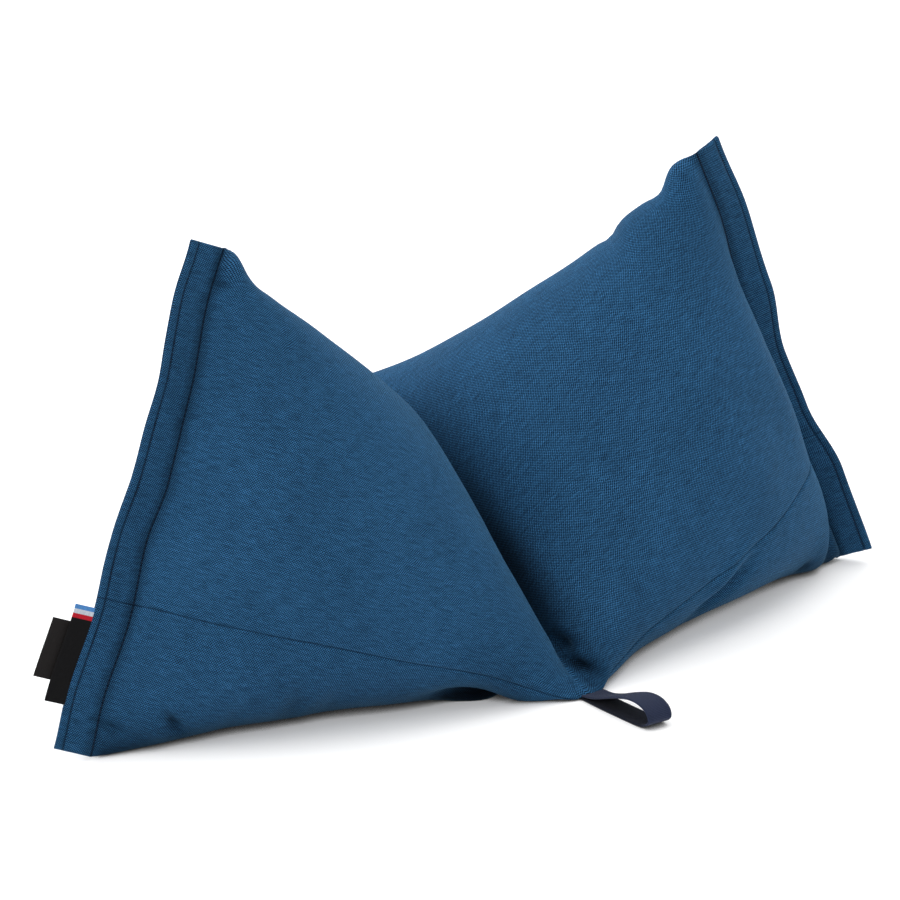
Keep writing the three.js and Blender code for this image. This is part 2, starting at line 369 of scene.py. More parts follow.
@dataclass
class LobeCloth:
    """The canvas of one lobe between its end seam and the waist, relaxed as a net of threads.

    It starts as the flat-sided shape that joins the two crossed seams. The filling then presses it out while
    its threads keep their length, first on a coarse net and then on finer ones, where it wrinkles.
    """

    seam: EndSeam
    filling: Filling = Filling()
    stages: tuple[Stage, ...] = (
        Stage(rows=24, around=60, steps=420, press=1.0, bend=0.006),
        Stage(rows=48, around=120, steps=120, press=0.25, bend=0.012),
        Stage(rows=96, around=240, steps=90, press=0.06, bend=0.02),
    )
    diagonal: float = 0.2
    bend_at_seam: float = 0.3
    passes: int = 3
    stride: float = 0.02
    drag: float = 0.96

    def start(self, stage: Stage) -> np.ndarray:
        """The straight blend between the two seam lines, on the stage's net.

        Args:
            stage: The stage that gives the net.

        Returns:
            The net's points.
        """
        around = np.arange(stage.around) * CUT.girth / stage.around
        first = self.seam.at(fold_share(around, 0.0), 0.0, 0.0)
        share = np.linspace(0, 1, stage.rows + 1)[:, None, None]
        return (1 - share) * first + share * WAIST.at(self.seam.side, around)

    def finer(self, places: np.ndarray, stage: Stage) -> np.ndarray:
        """The places carried over to a finer net, with its two ends put back on the seam lines.

        Args:
            places: The coarser net's points.
            stage: The stage that gives the finer net.

        Returns:
            The finer net's points.
        """
        rows = np.linspace(0, len(places) - 1, stage.rows + 1)
        around = np.arange(stage.around) * places.shape[1] / stage.around
        result = resampled(places, rows, around)
        ends = self.start(stage)
        result[[0, -1]] = ends[[0, -1]]
        return result

    def push(self, places: np.ndarray, cell: float) -> np.ndarray:
        """The filling's push: the cloth's normal, in step with its area and with the press at its height.

        Args:
            places: The net's points.
            cell: The area of one cell of the cloth.

        Returns:
            The push on each point, nothing on the first and last rows.
        """
        filling = self.filling
        along = places[2:] - places[:-2]
        around = (np.roll(places, -1, 1) - np.roll(places, 1, 1))[1:-1]
        height = places[1:-1, :, 2:]
        turn = (np.arange(places.shape[1]) / places.shape[1])[None, :, None]
        nearness = np.maximum(0, 1 - np.abs(turn - filling.back_turn) / filling.back_reach)
        weight = filling.settle + filling.settle_back * nearness
        settled = np.maximum(0, 1 - height / filling.settle_height) * weight
        depth = filling.depth * (places[0, :, 2].max() - height) / CUT.flat_width
        press = filling.press * (1 + depth + settled) * CUT.flat_width
        forces = np.zeros_like(places)
        forces[1:-1] = np.cross(along, around) * press * self.seam.side.value / (4 * cell)
        return forces

    def draw(self, places: np.ndarray, step: int, rest: float, share: float, rows: slice) -> None:
        """Draws the points of neighbouring rows together, or apart, until they lie a thread's length apart.

        Args:
            places: The net's points, changed in place.
            step: How many points further around the thread ends in the next row.
            rest: The thread's length.
            share: The share of the fault that is mended.
            rows: The rows where the threads start.
        """
        last = len(places) - 1
        start = np.arange(last)[rows]
        free_a = (start > 0).astype(float)[:, None, None]
        free_b = (start + 1 < last).astype(float)[:, None, None]
        a = places[start]
        b = np.roll(places[start + 1], -step, 1)
        gap = b - a
        length = np.linalg.norm(gap, axis=-1, keepdims=True)
        move = share * (length - rest) / (length * np.maximum(free_a + free_b, 1)) * gap
        places[start] = a + free_a * move
        places[start + 1] = np.roll(b - free_b * move, step, 1)

    def draw_around(self, places: np.ndarray, rest: float, odd: int) -> None:
        """Draws neighbours in a row to a thread's length, every second pair of them.

        Args:
            places: The net's points, changed in place.
            rest: The thread's length.
            odd: The point in each row where the first pair starts, 0 or 1.
        """
        inner = places[1:-1]
        first = np.arange(odd, places.shape[1], 2)
        second = (first + 1) % places.shape[1]
        gap = inner[:, second] - inner[:, first]
        length = np.linalg.norm(gap, axis=-1, keepdims=True)
        move = (length - rest) / (2 * length) * gap
        inner[:, first] += move
        inner[:, second] -= move

    def smooth(self, places: np.ndarray, bend: float) -> None:
        """Takes sharp bends out of the cloth, less beside its seams.

        Each point moves against the unevenness of the unevenness, where a point's unevenness is how far the
        sum of its four neighbours lies from four times the point.

        Args:
            places: The net's points, changed in place.
            bend: The share of the bends that is taken out.
        """
        bends = uneven(uneven(places))
        share = np.full(len(places), bend)
        share[[1, -2]] *= self.bend_at_seam
        places[1:-1] -= (share[:, None, None] * bends)[1:-1]

    def stop(self, places: np.ndarray) -> None:
        """Keeps the cloth above the floor and on its own side of the waist's middle plane.

        Args:
            places: The net's points, changed in place.
        """
        side = self.seam.side.value
        inner = places[1:-1]
        inner[..., 0] = side * np.maximum(side * inner[..., 0], CUT.waist_strip / 2)
        inner[..., 2] = np.maximum(inner[..., 2], 0)

    def relax(self) -> np.ndarray:
        """Runs all stages: each step moves the points by their speed and then mends the threads.

        Returns:
            The finest net's points, rows from the end seam to the waist by points around from the top fold.
        """
        places = self.start(self.stages[0])
        stages = self.stages
        for stage in stages:
            places = self.finer(places, stage)
            along = CUT.lobe_length / stage.rows
            around = CUT.girth / stage.around
            speeds = np.zeros_like(places)
            for _ in range(stage.steps):
                before = places.copy()
                push = self.push(places, along * around) * stage.press
                speeds = (speeds + self.stride * push) * self.drag
                places = places + self.stride * speeds
                for _ in range(self.passes):
                    self.mend(places, along, around, stage.bend)
                speeds = (places - before) / self.stride
        return places

    def mend(self, places: np.ndarray, along: float, around: float, bend: float) -> None:
        """One pass over all threads: along the tube, around it and across both diagonals, then the bends.

        Args:
            places: The net's points, changed in place.
            along: The length of a thread along the tube, from point to point.
            around: The length of a thread around it, from point to point.
            bend: The share of the bends that is taken out.
        """
        for odd in (0, 1):
            self.draw(places, 0, along, 1.0, slice(odd, None, 2))
        for odd in (0, 1):
            self.draw_around(places, around, odd)
        for turn in (1, -1):
            for odd in (0, 1):
                self.draw(places, turn, math.hypot(along, around), self.diagonal, slice(odd, None, 2))
        self.smooth(places, bend)
        self.stop(places)


def uneven(places: np.ndarray) -> np.ndarray:
    """How far the sum of each point's four neighbours lies from four times the point; nothing at the ends.

    Args:
        places: The net's points.

    Returns:
        The unevenness of each point.
    """
    result = np.zeros_like(places)
    sides = np.roll(places, 1, 1) + np.roll(places, -1, 1)
    result[1:-1] = sides[1:-1] + places[:-2] + places[2:] - 4 * places[1:-1]
    return result


def spline_weights(count: int, at: np.ndarray, closed: bool) -> np.ndarray:
    """The weights of a Catmull-Rom spline through evenly spaced points.

    Between two points the spline takes its slopes from the points on both sides. An open row is carried on
    straight past its ends.

    Args:
        count: The number of points.
        at: Where the spline is read, in steps from the first point.
        closed: Whether the row of points closes on itself.

    Returns:
        A matrix with a row for each place and a column for each point.
    """
    first = np.floor(at).astype(int)
    if not closed:
        first = np.clip(first, 0, count - 2)
    f = at - first
    parts = (
        -0.5 * f + f**2 - 0.5 * f**3,
        1 - 2.5 * f**2 + 1.5 * f**3,
        0.5 * f + 2 * f**2 - 1.5 * f**3,
        -0.5 * f**2 + 0.5 * f**3,
    )
    weights = np.zeros((len(at), count))
    rows = np.arange(len(at))
    for step, part in zip((-1, 0, 1, 2), parts):
        column = first + step
        if closed:
            np.add.at(weights, (rows, column % count), part)
            continue
        before = column < 0
        after = column > count - 1
        inside = ~(before | after)
        np.add.at(weights, (rows[inside], column[inside]), part[inside])
        np.add.at(weights, (rows[before], np.zeros(before.sum(), int)), 2 * part[before])
        np.add.at(weights, (rows[before], np.ones(before.sum(), int)), -part[before])
        np.add.at(weights, (rows[after], np.full(after.sum(), count - 1)), 2 * part[after])
        np.add.at(weights, (rows[after], np.full(after.sum(), count - 2)), -part[after])
    return weights


def resampled(places: np.ndarray, rows: np.ndarray, around: np.ndarray) -> np.ndarray:
    """The net read at other rows and places around, by splines both ways.

    Args:
        places: The net's points.
        rows: The rows that are read, in steps from the first.
        around: The places around, in steps from the top fold.

    Returns:
        The new net's points.
    """
    by_row = spline_weights(places.shape[0], rows, closed=False)
    by_turn = spline_weights(places.shape[1], around, closed=True)
    return np.einsum("ri,ijk,cj->rck", by_row, places, by_turn, optimize=True)


def crowded(count: int, start: float, end: float, crowding: float) -> np.ndarray:
    """Places from start up to but not at end, which crowd towards both.

    The share of the way is s - crowding * sin(2 pi s) / (2 pi), for s in even steps.

    Args:
        count: The number of places.
        start: The first place.
        end: Where the stretch ends.
        crowding: How much they crowd, from 0 to 1.

    Returns:
        The places.
    """
    share = np.arange(count) / count
    share = share - crowding * np.sin(2 * np.pi * share) / (2 * np.pi)
    return start + (end - start) * share


class Waves(NamedTuple):
    """Smooth uneven waves: the mean of many sines in random directions, with random lengths and phases."""

    height: float
    lengths: Range
    count: int
    seed: int

    def at(self, places: np.ndarray, side: Side) -> np.ndarray:
        """Reads the waves, which are drawn anew for each side.

        Args:
            places: The places, with any number of coordinates along the last axis.
            side: The side, which changes the seed.

        Returns:
            Values of about the height, to both sides of zero.
        """
        random = np.random.default_rng(self.seed + side.value)
        ways = unit(random.normal(size=(self.count, places.shape[-1])))
        turns = 2 * np.pi / random.uniform(*self.lengths, self.count)
        phases = random.uniform(0, 2 * np.pi, self.count)
        sines = np.sin(np.einsum("...k,nk->...n", places, ways * turns[:, None]) + phases)
        return sines.sum(-1) / math.sqrt(self.count) * self.height


def make_object(
    name: str,
    points: np.ndarray,
    faces: np.ndarray,
    cloth: np.ndarray | None = None,
    shade: np.ndarray | None = None,
) -> bpy.types.Object:
    """Makes a smooth mesh object at the origin of the shared frame, its faces pointing outwards.

    Points that lie within a ten-thousandth of a millimetre of each other are merged.

    Args:
        name: The piece's name.
        points: The points in millimetres, measured from under the waist's front end.
        faces: The faces as rows of four point numbers.
        cloth: For each corner of each face its place on the cloth, in millimetres.
        shade: For each point how much painted shade darkens the cloth there, from 0 to 1.

    Returns:
        The new object.
    """
    mesh = bpy.data.meshes.new(name)
    mesh.from_pydata(((points.reshape(-1, 3) + WAIST_FOOT) * METRE).tolist(), [], faces.tolist())
    if cloth is not None:
        layer = mesh.uv_layers.new(name=CLOTH_MAP)
        layer.data.foreach_set("uv", (cloth * MAP_SCALE).astype(np.float32).ravel())
    if shade is not None:
        layer = mesh.attributes.new(PAINTED_SHADE_LAYER, "FLOAT", "POINT")
        layer.data.foreach_set("value", shade.astype(np.float32).ravel())
    net = bmesh.new()
    net.from_mesh(mesh)
    bmesh.ops.remove_doubles(net, verts=net.verts, dist=1e-7)
    bmesh.ops.dissolve_degenerate(net, edges=net.edges, dist=1e-8)
    bmesh.ops.recalc_face_normals(net, faces=net.faces)
    if net.calc_volume(signed=True) < 0:
        bmesh.ops.reverse_faces(net, faces=net.faces)
    net.to_mesh(mesh)
    net.free()
    mesh.shade_smooth()
    piece = bpy.data.objects.new(name, mesh)
    bpy.context.scene.collection.objects.link(piece)
    LOG.info("%s: %d points, %d faces", name, len(mesh.vertices), len(mesh.polygons))
    return piece


def net_faces(rows: int, columns: int) -> tuple[np.ndarray, np.ndarray]:
    """The faces of a net that closes around, and the net's corners that they use.

    Args:
        rows: The number of rows of points.
        columns: The number of points around.

    Returns:
        The faces as rows of four point numbers, and for each face its corners as (row, column), where the
        column after the last is one past it and not the first.
    """
    row, column = np.meshgrid(np.arange(rows - 1), np.arange(columns), indexing="ij")
    steps = ((0, 0), (0, 1), (1, 1), (1, 0))
    corners = np.stack([np.stack([row + down, column + across], -1) for down, across in steps], 2)
    corners = corners.reshape(-1, 4, 2)
    return corners[..., 0] * columns + corners[..., 1] % columns, corners


def on_cloth(corners: np.ndarray, along: np.ndarray, across: np.ndarray) -> np.ndarray:
    """For each corner of each face its place on the cloth, from the places of its row and its column."""
    return np.stack([along[corners[..., 0]], across[corners[..., 1]]], -1).reshape(-1, 2)


@dataclass(frozen=True)
class HalfNet:
    """Where the points of one half lie on the cloth.

    Its rows go in from the end seam, with the flange below zero, and its columns around from the top fold.
    """

    side: Side
    inward: np.ndarray
    around: np.ndarray

    @property
    def rest(self) -> np.ndarray:
        """The distance of each row from the waist."""
        return CUT.lobe_length - self.inward

    def turn_from(self, place: float) -> np.ndarray:
        """The distance of each column from a place around the tube, the shorter way."""
        return np.mod(self.around - place + CUT.flat_width, CUT.girth) - CUT.flat_width

    def bell(self, crease: Crease) -> np.ndarray:
        """A crease's share at each point: a bell across it, times a longer bell along it.

        Args:
            crease: The crease.

        Returns:
            A share from 0 to 1 for each point.
        """
        inward = (self.inward - crease.inward)[:, None]
        turn = self.turn_from(crease.around)[None]
        angle = math.radians(crease.angle)
        along = inward * math.cos(angle) + turn * math.sin(angle)
        across = turn * math.cos(angle) - inward * math.sin(angle)
        return np.exp(-((across / crease.width) ** 2) - (along / crease.length) ** 2)


@dataclass
class CushionCover:
    """The filled canvas tube: both flanges, both lobes and the waist, as one closed surface."""

    lobe_rows: int = 80
    columns_side: int = 50
    columns_middle: int = 72
    crowding_rows: float = 0.75
    crowding_around: float = 0.82
    flange_sections: tuple[Section, ...] = (
        Section(reach=17.4, half=0.0),
        Section(reach=18.2, half=0.12),
        Section(reach=18.8, half=0.3),
        Section(reach=19.1, half=0.8),
        Section(reach=18.9, half=1.4),
        Section(reach=18.2, half=1.75),
        Section(reach=17.0, half=1.85),
        Section(reach=16.0, half=1.7),
        Section(reach=15.3, half=1.2),
        Section(reach=15.0, half=1.05),
        Section(reach=14.7, half=1.2),
        Section(reach=13.9, half=1.7),
        Section(reach=12.0, half=1.95),
        Section(reach=9.5, half=2.0),
        Section(reach=7.0, half=2.0),
        Section(reach=4.5, half=1.9),
        Section(reach=2.8, half=1.7),
        Section(reach=1.4, half=1.25),
        Section(reach=0.6, half=0.95),
    )
    sewn_half: float = 0.85
    sewn_fade: float = 2.55
    lumps: Waves = Waves(height=0.35, lengths=(30.0, 90.0), count=24, seed=5)
    lump_fade: float = 40.0
    puckers: Waves = Waves(height=0.25, lengths=(7.0, 16.0), count=12, seed=21)
    pucker_stretch: float = 0.3
    pucker_fade: float = 9.0
    seam_groove: float = 0.6
    seam_groove_width: float = 0.8
    seam_pinch: float = 0.4
    seam_pinch_width: float = 5.0
    seam_fade: float = 4.0
    texture_fade: float = 1.5
    crease_fade: float = 6.0
    flange_waves: Waves = Waves(height=0.5, lengths=(28.0, 60.0), count=7, seed=11)
    flange_puckers: Waves = Waves(height=0.3, lengths=(9.0, 22.0), count=12, seed=31)
    flange_stretch: float = 1.5
    # Painted shade: never above darkest; near the floor base_shade, fading over base_height upwards and
    # towards the waist
    darkest: float = 0.93
    base_shade: float = 0.88
    base_height: float = 13.0
    base_from_waist: Range = (25.0, 50.0)
    push_fade_end: float = 12.0
    push_fade_waist: float = 5.0
    held_length: float = 32.0
    held_pull: float = 1.1
    held_around: float = 19.0

    def around(self) -> np.ndarray:
        """Distances around the tube, which crowd at both folds, the long seam and the waist's back fold.

        They are the same on both faces, counted from the top fold, so that the faces' points meet at the rim.

        Returns:
            The distances, rising from 0 at the top fold.
        """
        mirrored = (CUT.girth - CUT.back, CUT.girth - CUT.front)
        stops = (0.0, mirrored[0], CUT.front, CUT.flat_width, mirrored[1], CUT.back, CUT.girth)
        counts = (self.columns_side, self.columns_middle, self.columns_side) * 2
        stretches = zip(counts, stops[:-1], stops[1:])
        return np.concatenate([crowded(*stretch, self.crowding_around) for stretch in stretches])

    @staticmethod
    def face_of(around: np.ndarray, first_fold: float, half: np.ndarray) -> np.ndarray:
        """The offset of the doubled cloth from its middle, which rounds off within its half at both folds.

        Within the half thickness h of a fold, at the distance d, it is sqrt(1 - (1 - d / h) ** 2) of h.

        Args:
            around: The distances around the tube.
            first_fold: The distance of the first fold.
            half: Half the thickness of the doubled cloth.

        Returns:
            The offsets, above zero from the first fold on to the second.
        """
        share = fold_share(around, first_fold)
        distance = np.minimum(share, 1 - share) * CUT.flat_width
        lack = 1 - np.minimum(distance / np.maximum(half, 1e-6), 1)
        sign = np.where(np.mod(around - first_fold, CUT.girth) < CUT.flat_width, 1.0, -1.0)
        return sign * half * np.sqrt(np.maximum(1 - lack**2, 0))

    def flange(self, seam: EndSeam, around: np.ndarray) -> tuple[np.ndarray, np.ndarray]:
        """The flange from its outer edge in to its seam.

        Its thickness follows the table of sections, and gentle waves bend it more the further out it is.

        Args:
            seam: The end seam that it stands out from.
            around: The distances around the tube.

        Returns:
            The points, and the reach of each row.
        """
        reach, half = np.array(self.flange_sections).T[..., None]
        down = fold_share(around, 0.0)[None]
        offset = self.face_of(around[None], 0.0, half)
        place = np.stack(np.broadcast_arrays(down * CUT.flat_width, reach * self.flange_stretch), -1)
        bend = self.flange_waves.at(place, seam.side) * (reach / CUT.flange_width) ** 2
        between_rows = np.sin(np.pi * np.clip(reach / CUT.outer_row, 0, 1))
        bend = bend + self.flange_puckers.at(place, seam.side) * between_rows
        return seam.at(down, reach, offset + bend), reach[:, 0]

    def lobe(self, seam: EndSeam, around: np.ndarray) -> tuple[np.ndarray, np.ndarray]:
        """The lobe from its end seam in to the waist, with the sewn cloth's thickness at both ends.

        Args:
            seam: The lobe's end seam.
            around: The distances around the tube.

        Returns:
            The points, and the distance in from the end seam of each row.
        """
        places = LobeCloth(seam).relax()
        inward = np.append(crowded(self.lobe_rows, 0.0, CUT.lobe_length, self.crowding_rows), CUT.lobe_length)
        net = HalfNet(seam.side, inward, around)
        rows = inward / CUT.lobe_length * (len(places) - 1)
        points = resampled(places, rows, around / CUT.girth * places.shape[1])
        half = np.array([[self.sewn_half]])
        at_end = self.face_of(around[None], 0.0, half) * np.exp(-inward / self.sewn_fade)[:, None]
        at_waist = self.face_of(around[None], CUT.front, half) * np.exp(-net.rest / self.sewn_fade)[:, None]
        points = points + seam.facing(fold_share(around, 0.0)) * at_end[..., None]
        points = points - WAIST.upper() * at_waist[..., None]
        points = self.pushed(net, self.held(net, points))
        return self.textured(net, points), inward

    def held(self, net: HalfNet, points: np.ndarray) -> np.ndarray:
        """Straightens the cloth beside the waist's front end, where the webbing caught in the seam holds it.

        Within the held length from the waist each thread follows a cubic curve, which leaves the waist along
        X and joins the relaxed cloth smoothly. The curve's share fades with a bell around the tube.

        Args:
            net: Where the points lie on the cloth.
            points: The lobe's points.

        Returns:
            The straightened points.
        """
        rest = net.rest
        row = int(np.searchsorted(-rest, -self.held_length))
        span = rest[row]
        slope = (points[row] - points[row - 1]) / (rest[row] - rest[row - 1]) * span
        away = np.array([net.side.value * self.held_length * self.held_pull, 0.0, 0.0])
        t = (rest[row:] / span)[:, None, None]
        near = (2 * t**3 - 3 * t**2 + 1) * points[-1] + (t**3 - 2 * t**2 + t) * away
        far = (3 * t**2 - 2 * t**3) * points[row] + (t**3 - t**2) * slope
        share = np.exp(-(((net.around - CUT.front) / self.held_around) ** 2))[None, :, None]
        result = points.copy()
        result[row:] += share * (near + far - points[row:])
        return result

    def pushed(self, net: HalfNet, points: np.ndarray) -> np.ndarray:
        """Adds every push of this lobe.

        A push ends at the end seam and, unless its middle is there, at the waist.

        Args:
            net: Where the points lie on the cloth.
            points: The lobe's points.

        Returns:
            The moved points.
        """
        end_fade = np.clip(net.inward / self.push_fade_end, 0, 1)
        fade = end_fade * np.clip(net.rest / self.push_fade_waist, 0, 1)
        for push in PUSHES:
            if push.side is net.side:
                along = np.exp(-(((net.inward - push.inward) / push.reach_inward) ** 2))
                along = along * (end_fade if push.inward >= CUT.lobe_length else fade)
                across = np.exp(-((net.turn_from(push.around) / push.reach_around) ** 2))
                points = points + along[:, None, None] * across[None, :, None] * np.array(push.move)
        return above_floor(points)

    def textured(self, net: HalfNet, points: np.ndarray) -> np.ndarray:
        """Moves the cloth along its normal: lumps of filling, puckers at the seams, creases, the long seam.

        Args:
            net: Where the points lie on the cloth.
            points: The lobe's points.

        Returns:
            The moved points, kept above the floor and on their own side of the waist.
        """
        side = net.side
        along = np.gradient(points, net.inward, axis=0)
        ring = np.concatenate([points[:, -1:], points, points[:, :1]], 1)
        turns = np.concatenate([[net.around[-1] - CUT.girth], net.around, [CUT.girth]])
        across = np.gradient(ring, turns, axis=1)[:, 1:-1]
        normal = unit(np.cross(along, across) * side.value)
        u, rest, v = net.inward[:, None], net.rest[:, None], net.around[None]
        ends = np.minimum(u, rest)
        raised = self.lumps.at(points, side) * np.minimum(ends / self.lump_fade, 1)
        fine = self.puckers.at(np.stack(np.broadcast_arrays(v, u * self.pucker_stretch), -1), side)
        raised += fine * (np.exp(-u / self.pucker_fade) + np.exp(-rest / self.pucker_fade))
        from_seam = np.abs(v - CUT.front)
        groove = self.seam_groove * np.exp(-((from_seam / self.seam_groove_width) ** 2))
        groove = groove + self.seam_pinch * np.exp(-from_seam / self.seam_pinch_width)
        raised -= np.clip(ends / self.seam_fade, 0, 1) * groove
        raised *= np.clip(ends / self.texture_fade, 0, 1)
        for crease in CREASES:
            if crease.side is side:
                raised -= crease.depth * net.bell(crease) * np.clip(ends / self.crease_fade, 0, 1)
        points = points + normal * raised[..., None]
        points[..., 0] = side.value * np.maximum(side.value * points[..., 0], CUT.waist_strip / 2)
        return above_floor(points)

    def shade(self, net: HalfNet, points: np.ndarray) -> np.ndarray:
        """How much painted shade darkens the cloth: in its dark creases, and on a lobe by exp(-height /
        base_height).

        The darkening at the base ends towards the waist, and nothing is darker than the darkest share.

        Args:
            net: Where the points lie on the cloth.
            points: The points of the half's flange and lobe.

        Returns:
            A share from 0 to 1 for each point.
        """
        near, far = self.base_from_waist
        lobe = np.clip(net.inward / self.crease_fade, 0, 1) * np.clip((net.rest - near) / (far - near), 0, 1)
        light = 1 - self.base_shade * np.exp(-points[..., 2] / self.base_height) * lobe[:, None]
        for crease in CREASES:
            if crease.side is net.side:
                light = light * (1 - np.minimum(crease.dark * net.bell(crease), 1))
        return np.minimum(1 - light, self.darkest)

    def half(self, seam: EndSeam, around: np.ndarray) -> tuple[np.ndarray, np.ndarray, np.ndarray]:
        """One flange and its lobe, from the flange's outer edge in to the waist.

        Args:
            seam: The half's end seam.
            around: The distances around the tube.

        Returns:
            The points, the place of each row along the tube from the waist, and the painted shade of each
            point.
        """
        flange, reach = self.flange(seam, around)
        lobe, inward = self.lobe(seam, around)
        net = HalfNet(seam.side, np.concatenate([-reach, inward]), around)
        points = above_floor(np.concatenate([flange, lobe]))
        return points, net.rest * seam.side.value, self.shade(net, points)

    def build(self) -> bpy.types.Object:
        """Joins flange, lobe, waist, lobe and flange along the tube into one closed piece.

        Returns:
            The cover.
        """
        around = self.around()
        halves = [self.half(seam, around) for seam in (LEFT_SEAM, RIGHT_SEAM)]
        points, along, shade = (np.concatenate([left, right[::-1]]) for left, right in zip(*halves))
        faces, corners = net_faces(*points.shape[:2])
        cloth = on_cloth(corners, along, np.append(around, CUT.girth))
        return make_object("cushion_cover", points, faces, cloth, shade)


PUSHES: tuple[Push, ...] = (
    # The waist's front end, where the webbing comes out
    Push(Side.LEFT, 243.0, 186.0, 16.0, 14.0, (0.0, -1.5, -1.8)),
    Push(Side.RIGHT, 243.0, 186.0, 16.0, 14.0, (0.5, -1.5, -1.8)),
    # The right lobe's front and base, which lie fuller on the floor
    Push(Side.RIGHT, 215.0, 190.0, 24.0, 34.0, (0.5, -3.0, -3.0)),
    Push(Side.RIGHT, 85.0, 212.0, 65.0, 26.0, (0.0, -4.5, -2.0)),
    Push(Side.RIGHT, 22.0, 245.0, 20.0, 25.0, (-1.0, -3.0, -2.0)),
    Push(Side.RIGHT, 20.0, 150.0, 24.0, 62.0, (6.0, -5.5, 0.0)),
    Push(Side.RIGHT, 132.0, 204.0, 15.0, 10.0, (0.0, 4.0, 2.0)),
    # The right lobe's top
    Push(Side.RIGHT, 118.0, 515.0, 42.0, 45.0, (0.0, 0.0, 5.2)),
    Push(Side.RIGHT, 52.0, 525.0, 10.0, 25.0, (0.0, 0.0, 2.5)),
    Push(Side.RIGHT, 165.0, 505.0, 35.0, 45.0, (0.0, 0.0, 2.0)),
    # The left lobe's base
    Push(Side.LEFT, 95.0, 184.0, 75.0, 24.0, (0.0, -0.5, 4.5)),
    Push(Side.LEFT, 188.0, 200.0, 22.0, 12.0, (0.0, 1.0, 4.0)),
    Push(Side.LEFT, 220.0, 197.0, 22.0, 20.0, (0.0, -1.0, -5.0)),
    Push(Side.LEFT, 196.0, 222.0, 15.0, 12.0, (0.0, -12.0, -5.0)),
    # The top beside the left end
    Push(Side.LEFT, 80.0, 18.0, 40.0, 35.0, (0.0, 0.0, 3.6)),
)
# A crease's dark, where given, is painted shade in it
CREASES: tuple[Crease, ...] = (
    # The ear at the right lobe's top corner and the dips beside it
    Crease(Side.RIGHT, 12.5, 0.0, 90.0, 26.0, 8.0, -2.8),
    Crease(Side.RIGHT, 28.5, 0.0, 90.0, 24.0, 7.0, 3.2),
    Crease(Side.RIGHT, 64.0, 525.0, 90.0, 20.0, 5.0, 2.4),
    # The fold at the right lobe's lower front: a ridge with a trough under it, and painted shade in the
    # trough
    Crease(Side.RIGHT, 124.0, 190.5, 22.0, 20.0, 4.5, -2.6),
    Crease(Side.RIGHT, 117.0, 199.5, 30.0, 17.0, 4.0, 4.8, 0.45),
    # The tuck between the right lobe's lower end and its flange, with painted shade in it
    Crease(Side.RIGHT, 13.0, 244.0, 75.0, 16.0, 6.0, 6.0, 0.3),
    Crease(Side.RIGHT, 41.0, 243.0, 60.0, 5.0, 3.5, 2.5, 0.8),
    # The hollows beside the waist's front end, with painted shade in two of them
    Crease(Side.RIGHT, 234.5, 155.0, -40.0, 9.0, 4.5, 4.6, 0.5),
    Crease(Side.RIGHT, 235.5, 169.0, -46.0, 11.0, 3.6, 4.2, 0.75),
    Crease(Side.RIGHT, 214.0, 171.0, -50.0, 9.0, 4.0, 1.2),
    # Painted shade on the right lobe's side of the valley between the lobes, with no trough
    Crease(Side.RIGHT, 222.0, 105.0, 80.8, 75.0, 15.0, 0.0, 0.8),
    # The shoulder at the left lobe's top corner, and the dip and the short crease beside it, with painted
    # shade in the crease
    Crease(Side.LEFT, 9.0, 0.0, 90.0, 24.0, 9.0, -4.6),
    Crease(Side.LEFT, 30.0, 0.0, 90.0, 18.0, 7.0, 1.2),
    Crease(Side.LEFT, 4.5, 17.5, 0.0, 5.0, 1.8, 3.0, 0.45),
    # The dimples beside the left flange's lower end and the tucks along the left lobe's base, some with
    # painted shade
    Crease(Side.LEFT, 36.0, 239.5, 50.0, 7.0, 3.0, 4.2, 0.65),
    Crease(Side.LEFT, 27.0, 244.0, 50.0, 8.0, 3.5, -1.6),
    Crease(Side.LEFT, 6.0, 247.0, 10.0, 9.0, 2.2, 2.4, 0.35),
    # The hollow under the left lobe's lifted lip: a trough, and a dark painted shadow over it
    Crease(Side.LEFT, 192.0, 208.0, 0.0, 22.0, 5.5, 7.0),
    Crease(Side.LEFT, 193.0, 217.0, 0.0, 19.0, 10.0, 0.0, 1.8),
    Crease(Side.LEFT, 66.0, 230.0, 90.0, 12.0, 5.0, 1.2),
    Crease(Side.LEFT, 93.0, 220.0, 80.0, 12.0, 4.0, 2.6, 0.25),
    Crease(Side.LEFT, 113.0, 218.0, 90.0, 12.0, 5.0, 1.6),
)


